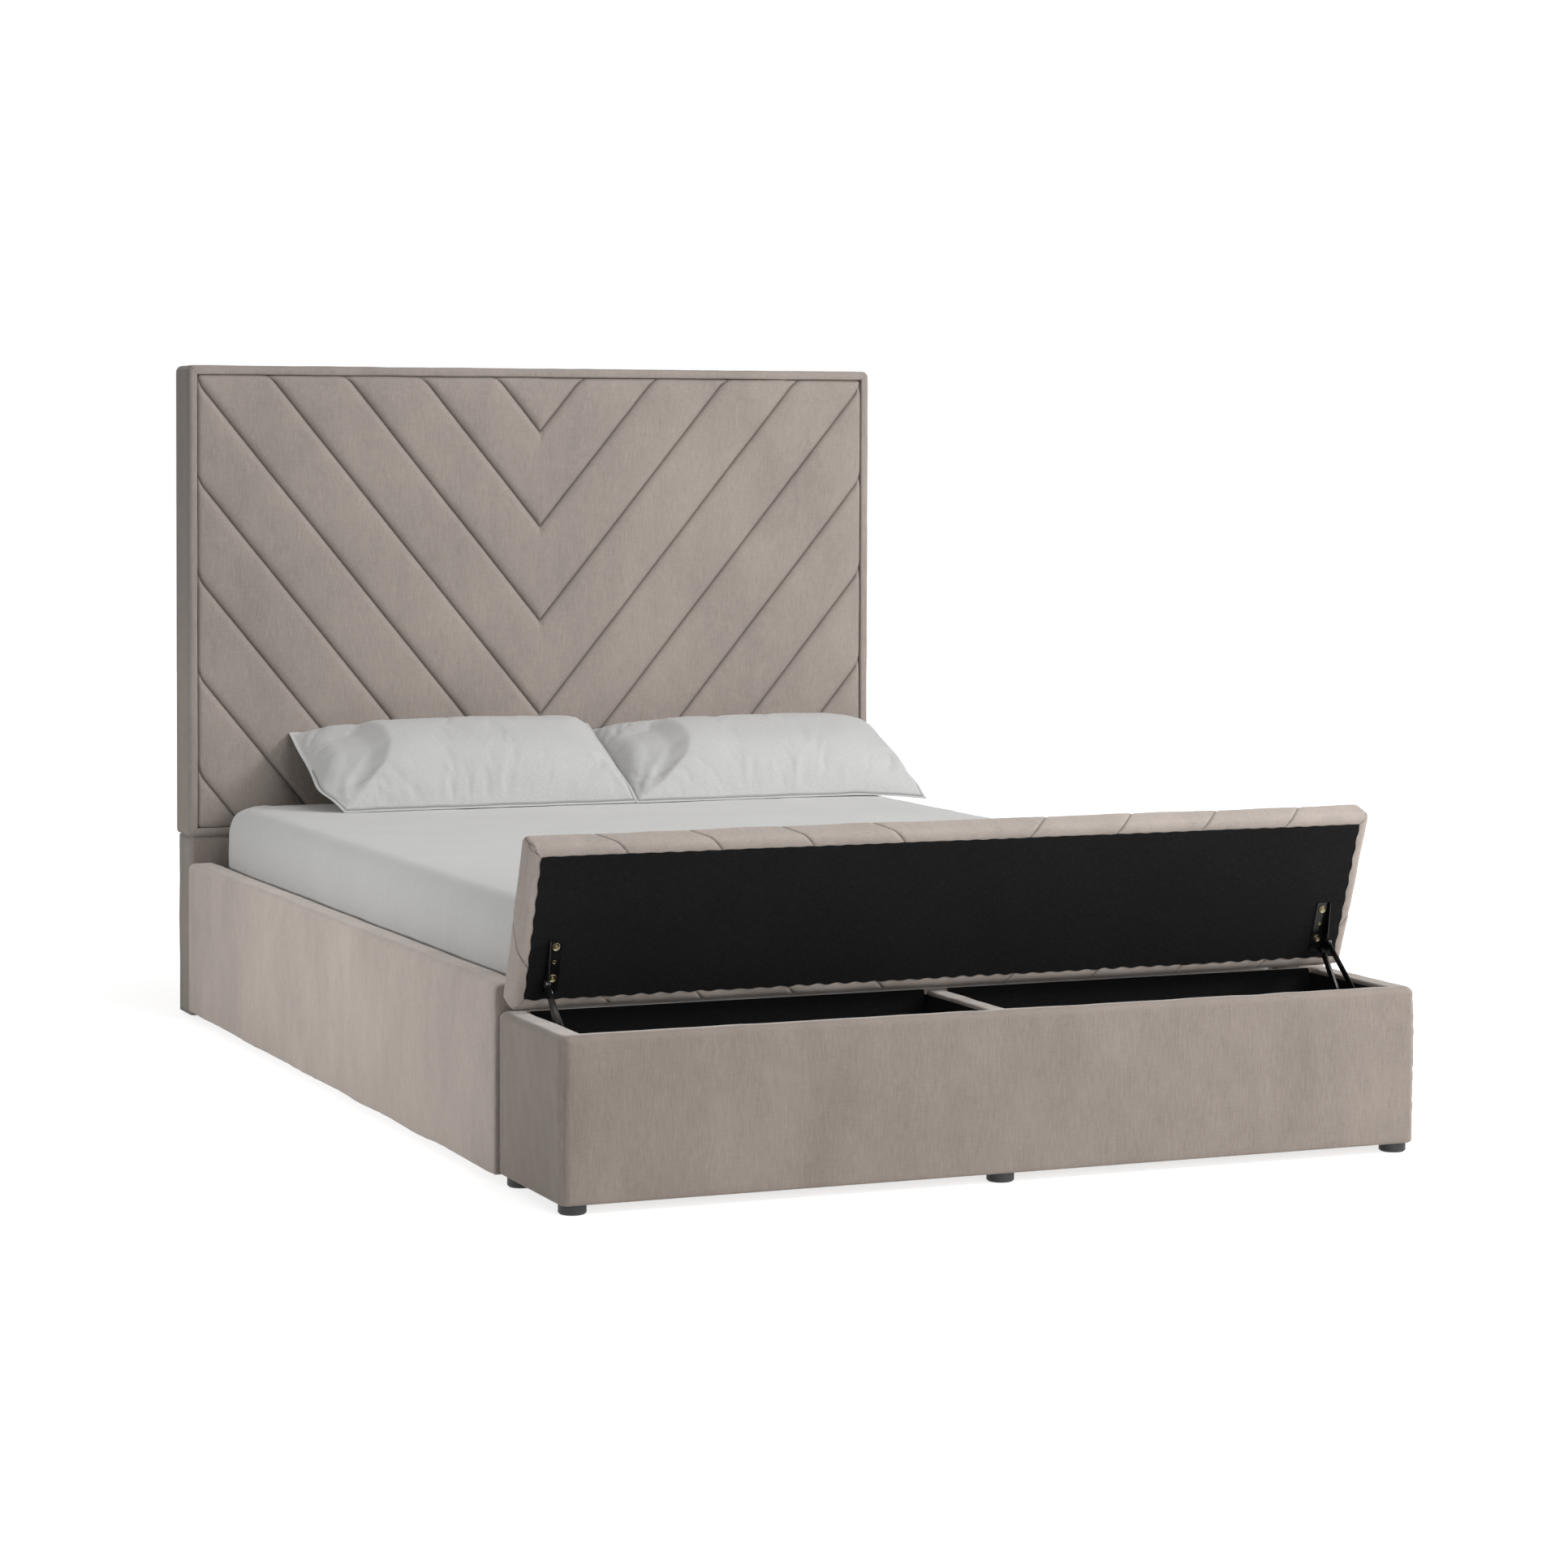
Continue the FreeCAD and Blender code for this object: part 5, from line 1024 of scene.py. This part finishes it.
def folds(u, v):
    """Soft folds that fade into the pillow, and the hollow at its left end behind a ridge."""
    total = np.zeros(len(u))
    for (u0, v0), (u1, v1), width, depth in FOLDS:
        run = np.array([u1 - u0, v1 - v0])
        share = np.clip(((u - u0) * run[0] + (v - v0) * run[1]) / np.linalg.norm(run) ** 2, 0, 1)
        away = np.hypot(u - u0 - share * run[0], v - v0 - share * run[1])
        taper = np.sin(math.pi * np.clip(0.12 + 0.88 * share, 0, 1)) ** 0.8
        total += depth * bell(away, width * (0.7 + 0.6 * share)) * taper
    edge = np.interp(v, (-172.0, -132.0, -85.0, -30.0, 30.0, 100.0, 150.0),
                     (-326.0, -262.0, -208.0, -184.0, -184.0, -200.0, -222.0))
    beside = (u - edge) * 0.85
    span = rise(v, -165.0, 60.0) * fall(v, 130.0, 60.0)
    past_valley = beside + 42.0
    valley = bell(past_valley, np.where(past_valley > 0, 31.0, 62.0))
    valley *= rise(u + HALF_U, 10.0, 70.0)
    total += span * (3.5 * bell(beside, 9.0) - 24.0 * valley)
    return total


def pillow_case(name, seed, scale, pull):
    """The sewn case at a share of its full height, with each vertex's place on the flat case."""
    grid_u, grid_v = np.meshgrid(hem_lines(HALF_U, 6.5), hem_lines(HALF_V, 6.5), indexing="ij")
    u, v = grid_u.ravel(), grid_v.ravel()
    far = np.clip(u / HALF_U, 0, 1) ** 3
    near_corner = np.exp(-((u + HALF_U) / 80.0) ** 2 - ((v + HALF_V) / 58.0) ** 2)
    near_side = np.exp(-((u + HALF_U) / 70.0) ** 2 - ((v + 95.0) / 50.0) ** 2)
    draw_u = u - 2.0 * far * (1 - (v / HALF_V) ** 2) + pull * (32.0 * near_corner - 6.0 * near_side)
    draw_v = v * (1 - 5.0 / HALF_V * (1 - (u / HALF_U) ** 2) * (np.abs(v) / HALF_V) ** 3)
    front = pillow_height(u, v, 106.0, 110.0) * scale
    back = pillow_height(u, v, 56.0, 60.0) * scale
    points = np.vstack([
        np.stack([draw_u, draw_v, front], 1), np.stack([draw_u, draw_v, -back], 1)])
    ids = np.arange(grid_u.size).reshape(grid_u.shape)
    rim = np.zeros(grid_u.shape, bool)
    rim[[0, -1]] = rim[:, [0, -1]] = True
    points[ids[rim], 2] = 0.0
    behind = np.where(rim, ids, ids + grid_u.size)
    used, faces = compact(side_quads((ids, False), (behind, True)), len(points))
    flat = np.tile(np.stack([u, v], 1), (2, 1))[used]
    points = points[used]
    points[:, 2] += 0.9 * rise(hem_room(flat), 12, 40) * ripples(points, 90.0, seed)
    return mesh_object(name, points, faces), flat


def hem_room(flat):
    """How far each place on the flat case lies from its edge."""
    return np.minimum(HALF_U - np.abs(flat[:, 0]), HALF_V - np.abs(flat[:, 1]))


def blow_up(piece, flat, pressure, frames, cap):
    """Inflates the case; the stitched hem is held and no vertex moves further than the cap."""
    start = vertices_of(piece)
    held = piece.vertex_groups.new(name="hem")
    held.add([int(k) for k in np.flatnonzero(hem_room(flat) < 13.0)], 1.0, "REPLACE")
    cloth = piece.modifiers.new("inflate", "CLOTH")
    settings = cloth.settings
    settings.quality = 6
    settings.mass = 0.25
    settings.tension_stiffness = settings.compression_stiffness = 12.0
    settings.shear_stiffness = 5.0
    settings.bending_stiffness = 0.08
    settings.shrink_min = -0.02
    settings.vertex_group_mass = "hem"
    settings.use_pressure = True
    settings.uniform_pressure_force = pressure
    settings.effector_weights.gravity = 0.0
    cloth.collision_settings.use_collision = False
    cloth.point_cache.frame_start = 1
    cloth.point_cache.frame_end = frames
    scene = bpy.context.scene
    for number in range(1, frames + 1):
        scene.frame_set(number)
    deps = bpy.context.evaluated_depsgraph_get()
    result = bpy.data.meshes.new_from_object(piece.evaluated_get(deps))
    piece.modifiers.clear()
    piece.vertex_groups.clear()
    old = piece.data
    piece.data = result
    bpy.data.meshes.remove(old)
    scene.frame_set(1)
    moved = vertices_of(piece) - start
    length = np.linalg.norm(moved, axis=1, keepdims=True)
    put_vertices(piece, start + moved * np.minimum(1, cap / np.maximum(length, 1e-9)))


def leaned(points, flat, node, centre_x, lean):
    """Leans a pillow on the headboard with its lower hem level on the sheet. Toward the
    mattress's edge it droops."""
    u, v = flat.T
    slack, hem_run, droop, droop_x, droop_run = 0.2, 55.0, 15.0, 640.0, 190.0
    low_box, high_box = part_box(node)
    level = low_box[2] / MM + slack
    points = points @ np.array(Matrix.Rotation(math.radians(lean), 3, "X")).T
    x, y, z = points.T
    x += centre_x
    y += high_box[1] / MM - y.max() - slack
    z += level - z.min()
    hem = np.abs(v + HALF_V) < 0.01
    order = np.argsort(u[hem])
    gap = np.interp(u, u[hem][order], z[hem][order]) - level
    near_hem = np.clip(1 - (v + HALF_V) / hem_run, 0, 1)
    near_hem = near_hem ** 2 * (3 - 2 * near_hem)
    z -= near_hem * np.minimum(gap, np.clip(z - level, 0, None))
    z -= droop * rise(x, droop_x, droop_run) ** 1.6
    return points


def pillow(side, centre_x, crest, lean, seed, back_crest=57.0):
    """One pillow. Only the left one has a pulled corner, and it laps over the right one."""
    node = "pillow_" + side
    hand = 1.0 if side == "left" else -1.0
    piece, flat = pillow_case(
        "pillow_case_" + side, seed, 0.9, 1.0 if hand > 0 else 0.0)
    blow_up(piece, flat, pressure=4.0, frames=20, cap=24.0)
    points = vertices_of(piece)
    z = points[:, 2]
    u, v = flat.T
    room = hem_room(flat)
    front = z > 0
    z += np.where(front, 1.0, -0.6) * folds(u, v) * rise(room, 11.0, 12.0)
    stitch = bell(room - 4.6, 1.1) + bell(room - 8.6, 1.1)
    wave = 0.55 * np.sin(u / 2.6) * np.sin(v / 2.6 + 1.0)
    z -= np.sign(z) * stitch * (0.8 + wave)
    z += 0.8 * np.clip(1 - room / 14, 0, 1) * ripples(points, 90.0, seed + 5)
    z[:] = np.where(front, z * crest / z.max(), z * -back_crest / z.min())
    z += hand * 4.5 * rise(hand * u - HALF_U, -40.0, 30.0)
    points = leaned(points, flat, node, centre_x, lean)
    put_vertices(piece, points)
    # Painted shade along the stitched hem line on the lower side
    mark_painted_seam_shade(piece, bell(room - 8.8, 1.7) * (v < 0))
    close_rims(piece)
    smooth_all(piece)
    piece.data.materials.append(PILLOW_CLOTH)
    smooth = piece.modifiers.new("smooth", "SUBSURF")
    smooth.levels = smooth.render_levels = 1
    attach(piece, "frame")
    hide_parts(node)


# Fasteners of the lid plates: lathe-turned screw heads with a cross recess, washers and eyelets
def lathe(name, rings, centre, axis, segments, recess=None):
    """Rings of (radius, height) turned about an axis; the first and last ring are closed."""
    axis = Vector(axis).normalized()
    across = axis.orthogonal().normalized()
    other = axis.cross(across)
    points = []
    for radius, height in rings:
        for step in range(segments):
            angle = 2 * math.pi * step / segments
            u, v = radius * math.cos(angle), radius * math.sin(angle)
            drop = recess(u, v) if recess else 0.0
            points.append(Vector(centre) + across * u + other * v + axis * (height - drop))
    with_caps(name, np.array([tuple(p) for p in points]), ring_quads(len(rings), segments),
              "lid", "rivet_steel", ZINC)


def cross_recess(u, v):
    radius = 3.3
    arm, reach = radius * 0.16, radius * 0.62
    return 0.9 if min(abs(u), abs(v)) < arm and max(abs(u), abs(v)) < reach else 0.0


def fasteners():
    washer = [(2.2, 0.0), (6.9, 0.0), (7.3, 0.2), (7.3, 1.5), (7.0, 1.9), (6.5, 2.0), (5.9, 1.6),
              (5.3, 0.6), (4.6, 0.35), (2.2, 0.35)]
    head = [(2.9, 0.3), (3.3, 0.7), (3.3, 1.3), (3.0, 1.8), (2.6, 2.0)]
    head += [(radius, 2.0 + 0.25 * (1 - (radius / 2.6) ** 2))
             for radius in (2.3, 2.0, 1.7, 1.4, 1.0, 0.7, 0.4, 0.15)]
    eyelet = [(3.1, -0.6), (3.1, 0.2), (3.9, 0.5), (3.0, 0.8), (2.1, 0.4), (1.9, -0.6)]
    down = opened(np.array([0.0, 0.0, -1.0])) - opened(np.zeros(3))

    def on_plate(hand, along):
        """A place on a lid plate, in the open lid, at a distance from the lid's back edge."""
        closed = np.array([[hand * LID_PLATE_X, BENCH_BACK_Y - along, LID_LOW]])
        return opened(closed)[0] + down * 2.0

    for hand, side in ((-1, "left"), (1, "right")):
        for number, along in enumerate((62.0, 121.0)):
            name = f"lid_plate_screw_{side}_{number + 1}"
            place = on_plate(hand, along)
            lathe(name + "_washer", washer, place, down, 36)
            lathe(name + "_head", head, place, down, 48, cross_recess)
        lathe(f"lid_plate_eyelet_{side}", eyelet, on_plate(hand, 92.0), down, 28)


# Materials of the CAD nodes, by words in their names; the first look that fits is used
NODE_LOOKS = (
    (RIVET, ("pins",)),
    (BLACK_STEEL, ("plate", "strap", "arm", "bracket", "hanger", "centre_legs")),
    (BLACK_PLASTIC, ("feet", "glides")),
    (PLYWOOD, ("headboard_front_board", "headboard_back_panel", "bench_bottom_board", "lid_board",
               "bench_divider_board")),
    (PINE, ("board", "battens", "panel", "posts", "cross_rails", "slats", "beam", "ledge")),
)


def dress_nodes():
    for name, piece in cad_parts.items():
        looks = [look for look, words in NODE_LOOKS if any(word in name for word in words)]
        if looks:
            piece.data.materials.clear()
            piece.data.materials.append(looks[0])


# Floor, light and camera
def straight_rays(tree):
    """1 for camera, mirror and see-through rays: these see white, and light nothing."""
    path = tree.nodes.new("ShaderNodeLightPath").outputs
    seen = combine(tree, "MAXIMUM", path["Is Camera Ray"], path["Is Glossy Ray"])
    return combine(tree, "MAXIMUM", seen, path["Is Transmission Ray"])


def stage():
    size = 14000.0
    floor = mesh_object(
        "studio_floor", [(-size, -size, 0), (size, -size, 0), (size, size, 0), (-size, size, 0)],
        [(0, 1, 2, 3)])
    material = bpy.data.materials.new("studio_floor")
    material.use_nodes = True
    tree = material.node_tree
    tree.nodes.clear()
    diffuse = add(tree, "ShaderNodeBsdfDiffuse", {"Color": (0.82, 0.82, 0.82, 1.0)})
    place = add(tree, "ShaderNodeTexCoord").outputs["Object"]
    away = add(tree, "ShaderNodeVectorMath", {0: place}, operation="LENGTH").outputs["Value"]
    strength = mapped(tree, away, 0.74, 1.0, **{"From Min": 1.6, "From Max": 4.5})
    glow = add(tree, "ShaderNodeEmission", {"Color": (1.0, 1.0, 1.0, 1.0), "Strength": strength})
    lit = add(tree, "ShaderNodeAddShader", {0: diffuse.outputs[0], 1: glow.outputs[0]})
    mixed = add(tree, "ShaderNodeMixShader", {
        0: straight_rays(tree), 1: diffuse.outputs[0], 2: lit.outputs[0]})
    add(tree, "ShaderNodeOutputMaterial", {"Surface": mixed.outputs[0]})
    floor.data.materials.append(material)

    world = bpy.data.worlds.new("studio")
    bpy.context.scene.world = world
    world.use_nodes = True
    tree = world.node_tree
    tree.nodes.clear()
    soft = add(tree, "ShaderNodeBackground", {"Color": (0.99, 0.99, 1.0, 1.0), "Strength": 0.215})
    white = add(tree, "ShaderNodeBackground", {"Color": (1.0, 1.0, 1.0, 1.0), "Strength": 1.0})
    mixed = add(tree, "ShaderNodeMixShader", {
        0: straight_rays(tree), 1: soft.outputs[0], 2: white.outputs[0]})
    add(tree, "ShaderNodeOutputWorld", {"Surface": mixed.outputs[0]})


def softbox(name, place, target, size, power, spread=180.0):
    """A lamp that faces its target, in metres, watts and degrees."""
    light = bpy.data.lights.new(name, "AREA")
    light.shape = "RECTANGLE"
    light.size, light.size_y = size
    light.energy = power
    light.spread = math.radians(spread)
    lamp = new_object(name, light)
    lamp.location = place
    lamp.rotation_euler = (Vector(target) - Vector(place)).to_track_quat("-Z", "Y").to_euler()


def lights():
    softbox("key_softbox", (3.9, -3.0, 3.0), (0.3, 0.6, 0.7), (2.0, 2.0), 202.0)
    softbox("front_softbox", (0.4, -6.6, 2.0), (0.0, 0.0, 0.5), (3.0, 1.6), 98.0)
    softbox("top_softbox", (0.6, -0.2, 4.2), (0.1, 0.0, 0.3), (2.6, 2.6), 38.0)
    softbox("rail_softbox", (-3.6, 0.15, 0.9), (-0.8, 0.1, 0.2), (2.2, 0.5), 5.3, spread=60.0)


def camera():
    """The camera fitted to the photo; focal length and centre are in the photo's pixels."""
    data = bpy.data.cameras.new("camera")
    eye = new_object("camera", data)
    place = (-2.9888722, -7.1234, 1.264841)
    yaw, pitch, roll = 0.3788, 0.0311, 0.0018
    focal, pixels = 4724.4008, 1932.0
    centre = (813.97, 700.04)
    right = Vector((math.cos(yaw), -math.sin(yaw), 0.0))
    ahead = Vector((
        math.sin(yaw) * math.cos(pitch), math.cos(yaw) * math.cos(pitch), -math.sin(pitch)))
    up = right.cross(ahead)
    rolled_right = right * math.cos(roll) + up * math.sin(roll)
    rolled_up = up * math.cos(roll) - right * math.sin(roll)
    turn = Matrix((rolled_right, rolled_up, -ahead)).transposed().to_4x4()
    eye.matrix_world = Matrix.Translation(place) @ turn
    data.sensor_fit = "HORIZONTAL"
    data.sensor_width = 36.0
    data.lens = focal * data.sensor_width / pixels
    data.shift_x = (pixels / 2 - centre[0]) / pixels
    data.shift_y = (centre[1] - pixels / 2) / pixels
    data.clip_end = 60.0
    bpy.context.scene.camera = eye
    bpy.context.scene.view_settings.view_transform = "Standard"


def main():
    chevron_panel()
    border()
    lower_part()
    rail("left", 41)
    rail("right", 44)
    bench_cover()
    divider()
    liner("left", 71)
    liner("right", 75)
    lid_pad()
    dust_cover()
    mattress()
    fitted_sheet()
    pillow("left", centre_x=-242.0, crest=96.0, lean=24.0, seed=111)
    pillow("right", centre_x=466.0, crest=86.0, lean=22.0, seed=112)
    fasteners()
    dress_nodes()
    stage()
    lights()
    camera()


main()
